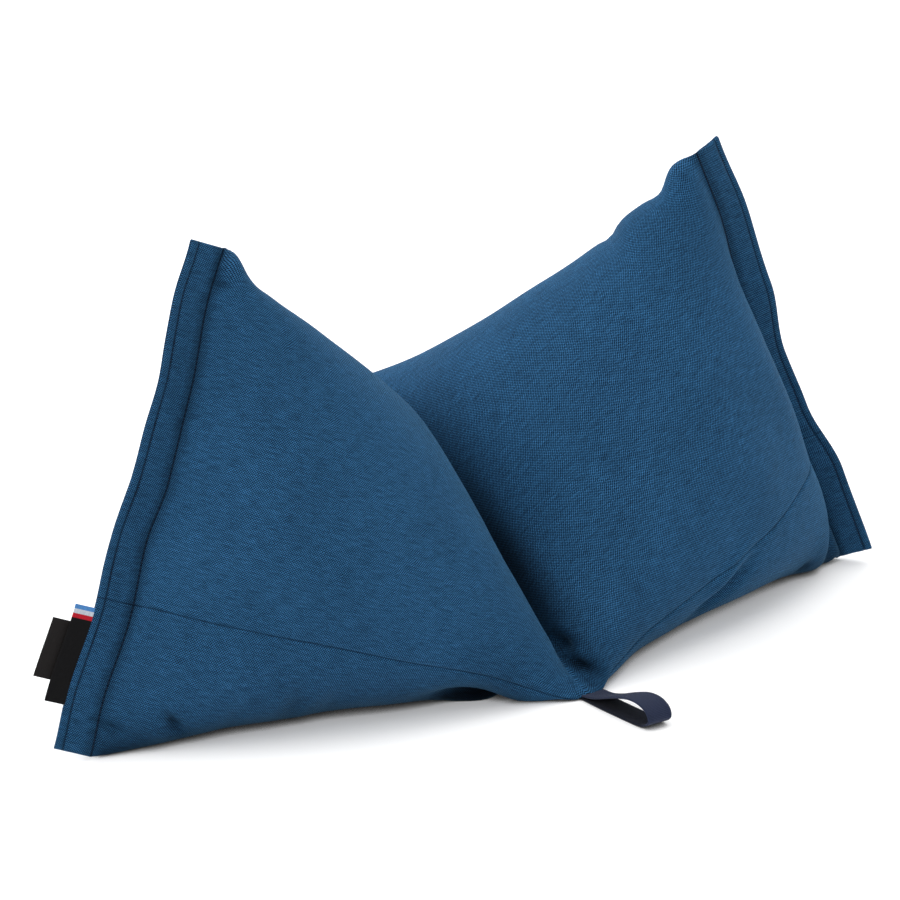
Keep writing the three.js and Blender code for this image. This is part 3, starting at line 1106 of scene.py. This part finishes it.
@dataclass
class Topstitching:
    """The two rows of stitches down both faces of one flange: beside the seam and near the outer edge."""

    seam: EndSeam
    pitch: float = 3.0
    stitch: float = 2.35
    thread: float = 0.5
    sag: float = 0.35
    blunt: float = 0.35
    rows: tuple[Section, ...] = (
        Section(reach=0.15, half=1.05),
        Section(reach=CUT.outer_row, half=1.2),
    )
    end_gap: float = 3.0
    rings: int = 6
    sides: int = 6

    def capsule(self) -> np.ndarray:
        """One stitch along its first axis, as rings of points.

        The radius falls from the middle to both ends like (1 - s ** 2) ** blunt, with s the share of the way
        to the end, and the middle line sinks by s ** 2 of the sag.

        Returns:
            The points, by ring, by side and by axis.
        """
        share = np.linspace(-1, 1, self.rings)[:, None]
        angle = (np.arange(self.sides) * 2 * np.pi / self.sides)[None]
        radius = self.thread / 2 * np.maximum(1 - share**2, 0) ** self.blunt
        along = share * self.stitch / 2
        lift = radius * np.sin(angle) - self.sag * share**2
        return np.stack(np.broadcast_arrays(along, radius * np.cos(angle), lift), -1)

    def build(self) -> bpy.types.Object:
        """Sets a stitch at every pitch down each row, on both faces, joined into one piece.

        Returns:
            All stitches of the flange as one piece.
        """
        capsule = self.capsule()
        faces, _ = net_faces(self.rings, self.sides)
        count = int((CUT.flat_width - 2 * self.end_gap) / self.pitch)
        down = (self.end_gap + (np.arange(count) + 0.5) * self.pitch) / CUT.flat_width
        step = 0.5 * self.stitch / CUT.flat_width
        stitches = []
        for row in self.rows:
            for face in Face:
                front = face.value * row.half
                before, middle, after = (self.seam.at(down + k * step, row.reach, front) for k in (-1, 0, 1))
                along = unit(after - before)
                lift = self.seam.facing(down) * face.value
                lift = unit(lift - (lift * along).sum(-1, keepdims=True) * along)
                axes = np.stack([along, np.cross(along, lift), lift], 1)
                stitches.append(middle[:, None, None] + np.einsum("rsk,nkx->nrsx", capsule, axes))
        points = above_floor(np.concatenate(stitches))
        many = faces[None] + (np.arange(len(points)) * self.rings * self.sides)[:, None, None]
        return make_object(f"topstitching_{self.seam.side.name.lower()}", points, many.reshape(-1, 4))


def centripetal(stations: np.ndarray, share: np.ndarray) -> np.ndarray:
    """A centripetal Catmull-Rom curve through stations, which runs on straight past its ends.

    Each stretch is a cubic between two stations. Its slopes come from the gaps to the stations beside them,
    each gap counted as the square root of its length.

    Args:
        stations: The points that the curve passes.
        share: Where it is read, from 0 to 1, with even shares from station to station.

    Returns:
        The curve's points.
    """
    ends = [2 * stations[:1] - stations[1:2], stations, 2 * stations[-1:] - stations[-2:-1]]
    points = np.concatenate(ends)
    gaps = np.linalg.norm(np.diff(points, axis=0), axis=1) ** 0.5
    at = share * (len(stations) - 1)
    first = np.minimum(at.astype(int), len(stations) - 2)
    t = (at - first)[:, None]
    p0, p1, p2, p3 = (points[first + k] for k in range(4))
    d0, d1, d2 = (gaps[first + k][:, None] for k in range(3))
    slope1 = ((p1 - p0) / d0 - (p2 - p0) / (d0 + d1) + (p2 - p1) / d1) * d1
    slope2 = ((p2 - p1) / d1 - (p3 - p1) / (d1 + d2) + (p3 - p2) / d2) * d1
    cubic = 2 * p1 - 2 * p2 + slope1 + slope2
    square = -3 * p1 + 3 * p2 - 2 * slope1 - slope2
    return p1 + slope1 * t + square * t**2 + cubic * t**3


@dataclass
class CarryLoop:
    """The webbing loop, folded double and caught in the seam at the waist's front end.

    From the station lower_start on, its lower leg carries lower_shade of painted shade, the upper leg's
    shadow.
    """

    width: float = 15.0
    thickness: float = 1.2
    edge_power: float = 12.0
    selvedge: float = 0.15
    selvedge_at: float = 0.9
    selvedge_width: float = 0.07
    steps: int = 220
    columns: int = 40
    tuck: float = 2.5
    lower_shade: float = 0.65
    lower_start: float = 7.5
    path: tuple[Station, ...] = (
        Station(out=0.5, side=3.5, z=2.1, lean=0),
        Station(out=9.0, side=3.9, z=3.4, lean=-4),
        Station(out=17.0, side=4.7, z=6.0, lean=-6),
        Station(out=27.0, side=5.7, z=9.9, lean=-4),
        Station(out=37.5, side=6.9, z=12.6, lean=0),
        Station(out=45.5, side=7.7, z=12.0, lean=2),
        Station(out=50.7, side=8.1, z=8.8, lean=2),
        Station(out=51.7, side=8.1, z=4.9, lean=1),
        Station(out=48.2, side=7.7, z=1.9, lean=0),
        Station(out=41.5, side=6.9, z=0.8, lean=0),
        Station(out=28.0, side=5.5, z=0.7, lean=0),
        Station(out=15.0, side=4.3, z=0.7, lean=0),
        Station(out=0.5, side=3.5, z=0.7, lean=0),
    )

    def profile(self) -> tuple[np.ndarray, np.ndarray]:
        """The webbing's outline across it, with rounded edges that are a little thicker than its middle.

        The outline goes once around. Its place across is half the width times s = sin(pi / 2 * cos(angle)),
        and its thickness falls to nothing at both edges like sqrt(1 - s ** edge_power).

        Returns:
            The places across and through the webbing.
        """
        angle = np.arange(self.columns) * 2 * np.pi / self.columns
        share = np.sin(np.pi / 2 * np.cos(angle))
        nearness = np.abs(share)
        rounding = np.maximum(1 - nearness**self.edge_power, 0) ** 0.5
        swelling = np.exp(-(((nearness - self.selvedge_at) / self.selvedge_width) ** 2))
        thick = (self.thickness / 2 + self.selvedge * swelling) * rounding
        return share * self.width / 2, np.sign(np.round(np.sin(angle), 9)) * thick

    def build(self) -> bpy.types.Object:
        """Carries the profile along the path, with both ends tucked into the seam and closed.

        Returns:
            The loop.
        """
        table = np.array(self.path, float)
        stations = np.stack([table[:, 1], -table[:, 0], table[:, 2]], -1)
        share = np.linspace(0, 1, self.steps + 1)
        station = share * (len(table) - 1)
        middle = centripetal(stations, share)
        inside = np.array([0.0, self.tuck, 0.0])
        middle = np.concatenate([middle[:1] + inside, middle, middle[-1:] + inside])
        lean = np.interp(station, np.arange(len(table)), table[:, 3])
        lean = np.radians(np.pad(lean, 1, mode="edge"))[:, None]
        forward = unit(np.gradient(middle, axis=0))
        level = np.array([[1.0, 0.0, 0.0]])
        across = level * np.cos(lean) + np.cross(forward, level) * np.sin(lean)
        across = unit(across - (across * forward).sum(-1, keepdims=True) * forward)
        through = np.cross(forward, across)
        wide, thick = self.profile()
        flat = middle[:, None] + across[:, None] * wide[None, :, None]
        points = flat + through[:, None] * thick[None, :, None]
        points = above_floor(np.concatenate([flat[:1], points, flat[-1:]]))
        length = np.cumsum(np.linalg.norm(np.diff(middle, axis=0), axis=1))
        length = np.concatenate([[0, 0], length, length[-1:]])
        faces, corners = net_faces(*points.shape[:2])
        cloth = on_cloth(corners, length, np.append(wide, wide[0]))
        shade = self.lower_shade * np.clip(station - self.lower_start, 0, 1)
        shade = np.repeat(np.pad(shade, 2, mode="edge"), self.columns)
        return make_object("carry_loop", points, faces, cloth, shade)


@dataclass
class SewnLabel:
    """A woven label, folded double along its outer edge and caught in the left flange's outer edge."""

    name: str
    start: float
    end: float
    reach: float
    front: float
    curl: float
    layer: float = 0.38
    gap: float = 0.16
    tuck: float = 1.2
    rows: int = 60
    cells: int = 14
    fold_steps: int = 9

    def layer_line(self, offset: float) -> np.ndarray:
        """One surface of the folded tape: out, round the fold and home, at an offset from the fold's middle.

        Args:
            offset: The surface's distance from the fold's middle.

        Returns:
            The distances out from the flange's edge, and those towards the front.
        """
        turn = np.linspace(0, np.pi, self.fold_steps)
        fold = self.reach - self.gap / 2 - self.layer
        out = np.linspace(-self.tuck, fold, self.cells)
        flat = np.ones(self.cells)
        reach = np.concatenate([out, fold + offset * np.sin(turn), out[::-1]])
        return np.stack([reach, offset * np.concatenate([flat, np.cos(turn), -flat])])

    def build(self, seam: EndSeam) -> bpy.types.Object:
        """Carries the folded section down the flange's edge.

        The section follows the tape's outer surface and then goes home along its inner one. The label bends
        to the front by its curl times the square of the share of its reach, and its two ends are closed.

        Args:
            seam: The end seam whose flange holds the label.

        Returns:
            The label.
        """
        inner = self.gap / 2
        surfaces = [self.layer_line(inner + self.layer), self.layer_line(inner)[:, ::-1]]
        reach, front = np.concatenate(surfaces, 1)
        down = np.linspace(self.start, self.end, self.rows)
        bend = self.front + self.curl * (np.maximum(reach, 0) / self.reach) ** 2
        points = seam.at(down[:, None], CUT.flange_width + reach, front + bend)
        faces, corners = net_faces(*points.shape[:2])
        length = (down - self.start) * CUT.flat_width
        cloth = on_cloth(corners, length, np.append(reach, reach[0]))
        count = len(reach)
        pairs = np.arange(count // 2 - 1)
        near = np.stack([pairs, pairs + 1, count - 2 - pairs, count - 1 - pairs], -1)
        caps = np.concatenate([near, near[:, ::-1]])
        row = np.repeat([0, self.rows - 1], len(near))[:, None]
        cap_cloth = np.stack(np.broadcast_arrays(length[row], reach[caps]), -1).reshape(-1, 2)
        faces = np.concatenate([faces, caps + row * count])
        return make_object(self.name, points, faces, np.concatenate([cloth, cap_cloth]))


class Shader:
    """One node material: hands out nodes and sockets, and puts them together with arithmetic."""

    def __init__(self, name: str) -> None:
        """Starts a material with a plain Principled shader.

        Args:
            name: The material's name.
        """
        self.material = bpy.data.materials.new(name)
        self.material.use_nodes = True
        self.tree = self.material.node_tree
        self.principled = self.tree.nodes["Principled BSDF"]

    def add(self, kind: str, **settings: object) -> bpy.types.Node:
        """A new node with its settings.

        Args:
            kind: The node's Blender type name, without its ShaderNode prefix.
            **settings: Properties of the node.

        Returns:
            The node.
        """
        node = self.tree.nodes.new(f"ShaderNode{kind}")
        for name, value in settings.items():
            setattr(node, name, value)
        return node

    def put(self, value: object, socket: bpy.types.NodeSocket) -> None:
        """Links another socket to this one, or sets its own value, a colour without its alpha on a vector.

        Args:
            value: Another socket, a number or a colour.
            socket: The socket that takes it.
        """
        if isinstance(value, bpy.types.NodeSocket):
            self.tree.links.new(value, socket)
        elif socket.type == "VECTOR":
            socket.default_value = value[:3]
        else:
            socket.default_value = value

    def math(self, operation: str, *values: object) -> bpy.types.NodeSocket:
        """The result of a Math node on up to three numbers or sockets.

        Args:
            operation: The node's operation.
            *values: Its numbers or sockets.

        Returns:
            The node's result.
        """
        node = self.add("Math", operation=operation)
        for value, socket in zip(values, node.inputs):
            self.put(value, socket)
        return node.outputs[0]

    def times(self, value: object, factor: object) -> bpy.types.NodeSocket:
        """The product of two numbers or sockets."""
        return self.math("MULTIPLY", value, factor)

    def ribs(self, place: object, pitch: float) -> bpy.types.NodeSocket:
        """A sine along a place, which changes its sign at every pitch."""
        return self.math("SINE", self.times(place, math.pi / pitch))

    def tone(self, rib: object, to: Range, fibre: object, spread: float) -> bpy.types.NodeSocket:
        """A brightness from a rib, plus or minus a spread from a noise."""
        return self.math("ADD", self.ramp(rib, 0.0, 1.0, to), self.ramp(fibre, *MIDDLE, (-spread, spread)))

    def mix(self, share: object, first: object, second: object) -> bpy.types.NodeSocket:
        """A colour between two, at a share of the way.

        Args:
            share: The share of the way to the second.
            first: The colour at a share of 0.
            second: The colour at a share of 1.

        Returns:
            The mixed colour.
        """
        node = self.add("Mix", data_type="RGBA", clamp_factor=True)
        self.put(share, node.inputs["Factor"])
        colours = [socket for socket in node.inputs if socket.type == "RGBA"]
        self.put(first, colours[0])
        self.put(second, colours[1])
        return next(socket for socket in node.outputs if socket.type == "RGBA")

    def brighten(self, colour: object, factor: object) -> bpy.types.NodeSocket:
        """A colour times a brightness.

        Args:
            colour: The colour.
            factor: The brightness.

        Returns:
            The brighter or darker colour.
        """
        node = self.add("VectorMath", operation="SCALE")
        self.put(colour, node.inputs[0])
        self.put(factor, node.inputs["Scale"])
        return node.outputs[0]

    def darken(self, colour: object) -> bpy.types.NodeSocket:
        """A colour made darker by the painted shade kept on the mesh's points."""
        shade = self.add("Attribute", attribute_name=PAINTED_SHADE_LAYER).outputs["Fac"]
        return self.brighten(colour, self.math("SUBTRACT", 1.0, shade))

    def ramp(self, value: object, low: float, high: float, to: Range = (0.0, 1.0)) -> bpy.types.NodeSocket:
        """A value carried smoothly from one range to another and held at its ends.

        Args:
            value: The value.
            low: Where its range starts.
            high: Where its range ends.
            to: The range that it is carried to.

        Returns:
            The carried value.
        """
        node = self.add("MapRange", interpolation_type="SMOOTHSTEP")
        names = ("Value", "From Min", "From Max", "To Min", "To Max")
        for given, name in zip((value, low, high, *to), names):
            self.put(given, node.inputs[name])
        return node.outputs[0]

    def cloth(self) -> tuple[bpy.types.NodeSocket, bpy.types.NodeSocket]:
        """The two places on the cloth map, in millimetres.

        Returns:
            The place along the piece, and the place across or around it.
        """
        parts = self.add("SeparateXYZ")
        self.put(self.add("UVMap", uv_map=CLOTH_MAP).outputs[0], parts.inputs[0])
        return tuple(self.times(parts.outputs[k], 1 / MAP_SCALE) for k in (0, 1))

    def place(self, *values: object) -> bpy.types.NodeSocket:
        """A vector from up to three numbers or sockets.

        Args:
            *values: The numbers or sockets.

        Returns:
            The vector.
        """
        node = self.add("CombineXYZ")
        for value, socket in zip(values, node.inputs):
            self.put(value, socket)
        return node.outputs[0]

    def noise(
        self, vector: object, scale: float = 1.0, detail: float = 2.0, rough: float = 0.5
    ) -> bpy.types.NodeSocket:
        """A noise of about 0 to 1 at a place.

        Args:
            vector: The place.
            scale: How fine the noise is.
            detail: How many finer layers it has.
            rough: How strong the finer layers are.

        Returns:
            The noise.
        """
        node = self.add("TexNoise")
        values = {"Vector": vector, "Scale": scale, "Detail": detail, "Roughness": rough}
        for name, value in values.items():
            self.put(value, node.inputs[name])
        return node.outputs[0]

    def streaks(
        self, first: object, second: object, finenesses: Range, layer: float, detail: float = 2.0
    ) -> bpy.types.NodeSocket:
        """A noise over two places with a fineness for each, in a layer of its own.

        Args:
            first: The first place.
            second: The second place.
            finenesses: How fine the noise is along each.
            layer: A number of its own.
            detail: How many finer layers it has.

        Returns:
            The noise.
        """
        places = [self.times(place, fineness) for place, fineness in zip((first, second), finenesses)]
        return self.noise(self.place(*places, layer), detail=detail)

    def line(self, value: object, at: float, width: float) -> bpy.types.NodeSocket:
        """One at a place and nothing further off than the width, smoothly between."""
        distance = self.math("ABSOLUTE", self.math("SUBTRACT", value, at))
        return self.ramp(distance, 0.0, width, (1.0, 0.0))

    def finish(self, colour: object, height: object, distance: float, **plain: object) -> bpy.types.Material:
        """Links the colour and the bump, and sets the plain values on the shader's own sockets.

        Args:
            colour: The base colour.
            height: The bump's height as a share of the distance, or None.
            distance: The height in metres of a share of one.
            **plain: Values by socket name, with spaces as underscores.

        Returns:
            The material.
        """
        self.put(colour, self.principled.inputs["Base Color"])
        if height is not None:
            bump = self.add("Bump")
            bump.inputs["Strength"].default_value = 1.0
            bump.inputs["Distance"].default_value = distance
            self.put(height, bump.inputs["Height"])
            self.put(bump.outputs[0], self.principled.inputs["Normal"])
        for name, value in plain.items():
            socket = name.replace("_", " ").title().replace("Ior", "IOR")
            self.principled.inputs[socket].default_value = value
        return self.material


class SeamLine(NamedTuple):
    """A darker line around the tube: its distance from the waist, the width it fades over, its weight."""

    at: float
    width: float
    weight: float


@dataclass(frozen=True)
class CanvasFinish:
    """Matt blue canvas in a plain weave of lighter and darker threads."""

    pitch: float = 0.64
    light: Colour = (0.0285, 0.1210, 0.2600, 1.0)
    dark: Colour = (0.0018, 0.0080, 0.0200, 1.0)
    light_change: Range = (0.7, 1.3)
    dark_change: Range = (0.4, 1.8)
    thread_noise: Range = (0.25, 0.75)
    slub: float = 0.12
    heather: float = 0.12
    stray: float = 1.6
    stray_fineness: float = 0.09
    crossing_edge: float = 0.2
    clouds: float = 22.0
    cloud_detail: float = 3.0
    cloud_rough: float = 0.6
    cloud_change: Range = (0.93, 1.07)
    weave_height: float = 0.00012
    round_top: float = 0.6
    thread_height: float = 0.5
    long_seam_width: float = 0.7
    seam_lines: tuple[SeamLine, ...] = (
        SeamLine(at=CUT.lobe_length, width=1.0, weight=1.0),
        SeamLine(at=4.0, width=0.7, weight=0.7),
        SeamLine(at=CUT.lobe_length + CUT.outer_row, width=1.0, weight=1.0),
    )
    seam_dark: float = 0.5
    # Painted shade in a wide band along each end seam
    beside_seam: SeamLine = SeamLine(at=CUT.lobe_length + 1.0, width=8.0, weight=0.85)
    # Painted shade over the flanges
    flange_shade: float = 0.3
    flange_edge: float = 2.0

    def weave(
        self, shader: Shader, u: object, v: object
    ) -> tuple[bpy.types.NodeSocket, bpy.types.NodeSocket]:
        """The weave: sin(pi u / pitch) * sin(pi v / pitch), where both places stray a little.

        Args:
            shader: The material's shader.
            u: The place along the tube.
            v: The place around it.

        Returns:
            The weave, and a brightness of its own for every crossing.
        """
        stray = shader.streaks(u, v, (self.stray_fineness, self.stray_fineness), 3.0)
        stray = shader.times(shader.math("SUBTRACT", stray, 0.5), self.stray)
        counts = [shader.times(shader.math("ADD", place, stray), 1 / self.pitch) for place in (u, v)]
        weave = shader.times(*(shader.ribs(count, 1.0) for count in counts))
        crossing = shader.add("TexWhiteNoise", noise_dimensions="2D")
        cell = shader.place(*(shader.math("FLOOR", count) for count in counts))
        shader.put(cell, crossing.inputs["Vector"])
        change = (1 - self.heather, 1 + self.heather)
        return weave, shader.ramp(crossing.outputs["Value"], 0.0, 1.0, change)

    def seams(self, shader: Shader, u: object, v: object) -> bpy.types.NodeSocket:
        """How much darker the cloth is: dark lines on its seams, and painted shade beside the end seams and
        on the flanges.

        Args:
            shader: The material's shader.
            u: The place along the tube.
            v: The place around it.

        Returns:
            The darkening, before its weight.
        """
        length = shader.math("ABSOLUTE", u)
        seams = shader.line(v, CUT.front, self.long_seam_width)
        for line in self.seam_lines:
            shade = shader.times(shader.line(length, line.at, line.width), line.weight)
            seams = shader.math("MAXIMUM", seams, shade)
        beside = self.beside_seam
        beside = shader.times(shader.line(length, beside.at, beside.width), beside.weight)
        flange = shader.ramp(length, CUT.lobe_length, CUT.lobe_length + self.flange_edge)
        flange = shader.times(flange, self.flange_shade)
        return shader.math("ADD", seams, shader.math("MAXIMUM", beside, flange))

    def material(self) -> bpy.types.Material:
        """The canvas material on the cloth map.

        The lighter threads lie on top where the weave is above zero, the darker ones where it is below. Every
        thread has its own slow change of brightness, and every crossing a brightness of its own.

        Returns:
            The material.
        """
        shader = Shader("blue_canvas")
        u, v = shader.cloth()
        weave, heather = self.weave(shader, u, v)
        warp = shader.streaks(u, v, (self.slub, 1 / self.pitch), 1.0, 1.0)
        weft = shader.streaks(u, v, (1 / self.pitch, self.slub), 2.0, 1.0)
        light = shader.brighten(self.light, shader.ramp(warp, *self.thread_noise, self.light_change))
        dark = shader.brighten(self.dark, shader.ramp(weft, *self.thread_noise, self.dark_change))
        top = shader.ramp(weave, -self.crossing_edge, self.crossing_edge)
        colour = shader.brighten(shader.mix(top, dark, light), heather)
        place = shader.add("TexCoord").outputs["Object"]
        clouds = shader.noise(place, self.clouds, self.cloud_detail, self.cloud_rough)
        colour = shader.brighten(colour, shader.ramp(clouds, *MIDDLE, self.cloud_change))
        seams = shader.times(self.seams(shader, u, v), self.seam_dark)
        colour = shader.brighten(colour, shader.math("SUBTRACT", 1.0, seams))
        height = shader.math("POWER", shader.math("ABSOLUTE", weave), self.round_top)
        for thread in (warp, weft):
            height = shader.math("ADD", height, shader.times(thread, self.thread_height))
        # The base colour carries the painted shade kept on the mesh's points
        return shader.finish(
            shader.darken(colour),
            height,
            self.weave_height,
            roughness=0.85,
            specular_ior_level=0.07,
            sheen_weight=0.2,
            sheen_roughness=0.25,
            sheen_tint=(0.28, 0.64, 1.0, 1.0),
        )


@dataclass(frozen=True)
class ThreadFinish:
    """Dark blue sewing thread, twisted."""

    colour: Colour = (0.003, 0.011, 0.030, 1.0)
    change: Range = (0.7, 1.3)
    fineness: float = 3000.0
    twist_height: float = 0.00005

    def material(self) -> bpy.types.Material:
        """The thread material: a fine uneven twist in brightness and height.

        Returns:
            The material.
        """
        shader = Shader("sewing_thread")
        twist = shader.noise(shader.add("TexCoord").outputs["Object"], self.fineness, 1.0)
        colour = shader.brighten(self.colour, shader.ramp(twist, *MIDDLE, self.change))
        return shader.finish(colour, twist, self.twist_height, roughness=0.7, specular_ior_level=0.15)


@dataclass(frozen=True)
class WebbingFinish:
    """Dark navy tape, woven in fine ribs across its width."""

    colour: Colour = (0.0175, 0.0255, 0.0590, 1.0)
    change: Range = (0.6, 1.15)
    spread: float = 0.2
    rib: float = 0.75
    thread: float = 0.5
    wobble: float = 0.8
    fibre: float = 3.0
    rib_height: float = 0.00015

    def material(self) -> bpy.types.Material:
        """The webbing material: ribs are a sine along the tape, broken up by its threads.

        Returns:
            The material.
        """
        shader = Shader("navy_webbing")
        along, across = shader.cloth()
        phase = shader.times(along, 2 * math.pi / self.rib)
        wobble = shader.times(shader.ribs(across, self.thread), self.wobble)
        rib = shader.math("SINE", shader.math("ADD", phase, wobble))
        rib = shader.math("MULTIPLY_ADD", rib, 0.5, 0.5)
        fibre = shader.streaks(along, across, (self.fibre, 1.0), 0.0, 3.0)
        colour = shader.brighten(self.colour, shader.tone(rib, self.change, fibre, self.spread))
        # The base colour carries the painted shade kept on the mesh's points
        return shader.finish(
            shader.darken(colour),
            rib,
            self.rib_height,
            roughness=0.75,
            specular_ior_level=0.15,
            sheen_weight=0.08,
            sheen_roughness=0.4,
        )


@dataclass(frozen=True)
class LabelFinish:
    """A dark label tape in a fine satin weave, with or without coloured stripes at its upper end."""

    name: str
    colour: Colour
    stripes: tuple[Colour, ...] = ()
    stripe: float = 2.3
    stripe_edge: float = 0.08
    thread: float = 0.28
    change: Range = (0.8, 1.05)
    spread: float = 0.12
    fibres: Range = (0.4, 3.0)
    rib_height: float = 0.00005

    def material(self) -> bpy.types.Material:
        """The label material: stripes by the distance down the label, and fine ribs across it.

        Returns:
            The material.
        """
        shader = Shader(self.name)
        down, reach = shader.cloth()
        rib = shader.math("MULTIPLY_ADD", shader.ribs(down, self.thread), 0.5, 0.5)
        fibre = shader.streaks(down, reach, self.fibres, 0.0)
        colour = self.colour
        for count in range(len(self.stripes), 0, -1):
            end = count * self.stripe
            past = shader.ramp(down, end - self.stripe_edge, end + self.stripe_edge)
            colour = shader.mix(past, self.stripes[count - 1], colour)
        colour = shader.brighten(colour, shader.tone(rib, self.change, fibre, self.spread))
        return shader.finish(colour, rib, self.rib_height, roughness=0.7, specular_ior_level=0.12)


class Lamp(NamedTuple):
    """A square soft light: where it hangs and its side, in metres, and its power in watts."""

    name: str
    place: Triple
    size: float
    power: float


@dataclass
class Studio:
    """A pale floor, soft light and the photograph's camera.

    The camera's distances are in millimetres, and those of the floor and the lamps in metres.
    """

    azimuth: float = -34.4854
    elevation: float = 20.3925
    distance: float = 2058.5
    aside: float = -71.0
    above: float = 128.9
    focal_pixels: float = 3958.8
    frame_pixels: float = 900.0
    sensor: float = 36.0
    clip_end: float = 50.0
    floor_size: float = 12.0
    floor_colour: Colour = (0.9, 0.9, 0.9, 1.0)
    floor_glow: float = 0.2
    contact_reach: float = 0.007
    contact_open: float = 0.55
    contact_samples: int = 6
    sky: float = 0.55
    lamp_aim: Triple = (0.0, 0.0, 0.1)
    lamps: tuple[Lamp, ...] = (
        Lamp("softbox_over", place=(-0.7, 0.2, 2.5), size=2.4, power=30.0),
        Lamp("softbox_right", place=(1.4, 0.4, 2.0), size=2.0, power=23.0),
        Lamp("softbox_front", place=(-0.6, -2.4, 1.6), size=1.6, power=13.0),
        Lamp("softbox_left", place=(-2.0, 1.2, 1.2), size=1.6, power=27.0),
        Lamp("softbox_far", place=(0.0, 5.0, 3.5), size=4.0, power=150.0),
    )

    def camera(self) -> None:
        """Places the camera: back from its aim by the distance, moved aside and above by the framing."""
        a, e = math.radians(self.azimuth), math.radians(self.elevation)
        back = np.array([math.sin(a) * math.cos(e), -math.cos(a) * math.cos(e), math.sin(e)])
        right = np.array([math.cos(a), math.sin(a), 0.0])
        up = np.cross(back, right)
        place = WAIST_FOOT + right * self.aside + up * self.above + back * self.distance
        data = bpy.data.cameras.new("camera")
        data.sensor_width = self.sensor
        data.lens = self.sensor * self.focal_pixels / self.frame_pixels
        data.clip_end = self.clip_end
        camera = bpy.data.objects.new("camera", data)
        bpy.context.scene.collection.objects.link(camera)
        camera.location = place * METRE
        camera.rotation_euler = (math.pi / 2 - e, 0.0, a)
        bpy.context.scene.camera = camera
        LOG.info("camera at %s", camera.location)

    def floor(self) -> None:
        """Lays a large pale floor just under the pillow.

        It glows a little, as painted light that keeps the shadows light, and a painted contact shadow darkens
        it close to where the pillow touches it.
        """
        half = self.floor_size / 2
        corners = [(-half, -half, 0.0), (half, -half, 0.0), (half, half, 0.0), (-half, half, 0.0)]
        mesh = bpy.data.meshes.new("floor")
        mesh.from_pydata(corners, [], [(0, 1, 2, 3)])
        floor = bpy.data.objects.new("floor", mesh)
        bpy.context.scene.collection.objects.link(floor)
        shader = Shader("pale_floor")
        nearness = shader.add("AmbientOcclusion", samples=self.contact_samples)
        nearness.inputs["Distance"].default_value = self.contact_reach
        open_share = shader.ramp(nearness.outputs["AO"], 0.0, self.contact_open)
        glow = shader.brighten(WHITE, open_share)
        shader.put(glow, shader.principled.inputs["Emission Color"])
        colour = shader.brighten(self.floor_colour, open_share)
        plain = {"roughness": 0.9, "specular_ior_level": 0.0, "emission_strength": self.floor_glow}
        floor.data.materials.append(shader.finish(colour, None, 0.0, **plain))

    def hang(self, lamp: Lamp) -> None:
        """Hangs a lamp that faces the pillow.

        Args:
            lamp: The lamp.
        """
        data = bpy.data.lights.new(lamp.name, "AREA")
        data.shape = "SQUARE"
        data.size = lamp.size
        data.energy = lamp.power
        light = bpy.data.objects.new(lamp.name, data)
        bpy.context.scene.collection.objects.link(light)
        light.location = lamp.place
        x, y, z = np.subtract(lamp.place, self.lamp_aim)
        light.rotation_euler = (math.atan2(math.hypot(x, y), z), 0.0, math.atan2(x, -y))

    def build(self) -> None:
        """Sets up floor, lights, sky and colours."""
        self.floor()
        for lamp in self.lamps:
            self.hang(lamp)
        world = bpy.data.worlds.new("studio")
        world.use_nodes = True
        background = world.node_tree.nodes["Background"]
        background.inputs["Color"].default_value = WHITE
        background.inputs["Strength"].default_value = self.sky
        bpy.context.scene.world = world
        bpy.context.scene.view_settings.view_transform = "Standard"


def dress(piece: bpy.types.Object, material: bpy.types.Material, slot: str, *nodes: str) -> None:
    """Gives a piece its material, lets it ride on the pillow, and hides the CAD parts that it stands for.

    Args:
        piece: The piece.
        material: Its material.
        slot: The name of a material slot; not used.
        *nodes: The CAD nodes that it replaces.
    """
    piece.data.materials.append(material)
    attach(piece, BODY)
    if nodes:
        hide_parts(*nodes)


def main() -> None:
    """Builds the studio and then the pillow, piece by piece."""
    logging.basicConfig(level=logging.INFO, format="%(name)s: %(message)s")
    studio = Studio()
    studio.camera()
    studio.build()

    canvas = CanvasFinish().material()
    cushion = CushionCover().build()
    dress(cushion, canvas, "canvas", "cushion")

    thread = ThreadFinish().material()
    for seam in (LEFT_SEAM, RIGHT_SEAM):
        dress(Topstitching(seam).build(), thread, "canvas")

    loop = CarryLoop().build()
    dress(loop, WebbingFinish().material(), "webbing", "loop")

    main_label = SewnLabel(
        "label_main_tape", start=0.722, end=0.914, reach=10.5, front=0.8, curl=0.6
    ).build(LEFT_SEAM)
    blue, silver, red = (0.07, 0.22, 0.50, 1.0), (0.50, 0.54, 0.60, 1.0), (0.42, 0.010, 0.022, 1.0)
    black = LabelFinish("black_label", colour=(0.0025, 0.0025, 0.0030, 1.0), stripes=(blue, silver, red))
    dress(main_label, black.material(), "woven_label", "label_main")

    care_label = SewnLabel(
        "label_care_tape", start=0.757, end=0.874, reach=18.6, front=-0.8, curl=-1.6
    ).build(LEFT_SEAM)
    grey = LabelFinish("care_label", colour=(0.011, 0.0095, 0.0095, 1.0))
    dress(care_label, grey.material(), "care_label", "label_care")


if __name__ == "__main__":
    main()
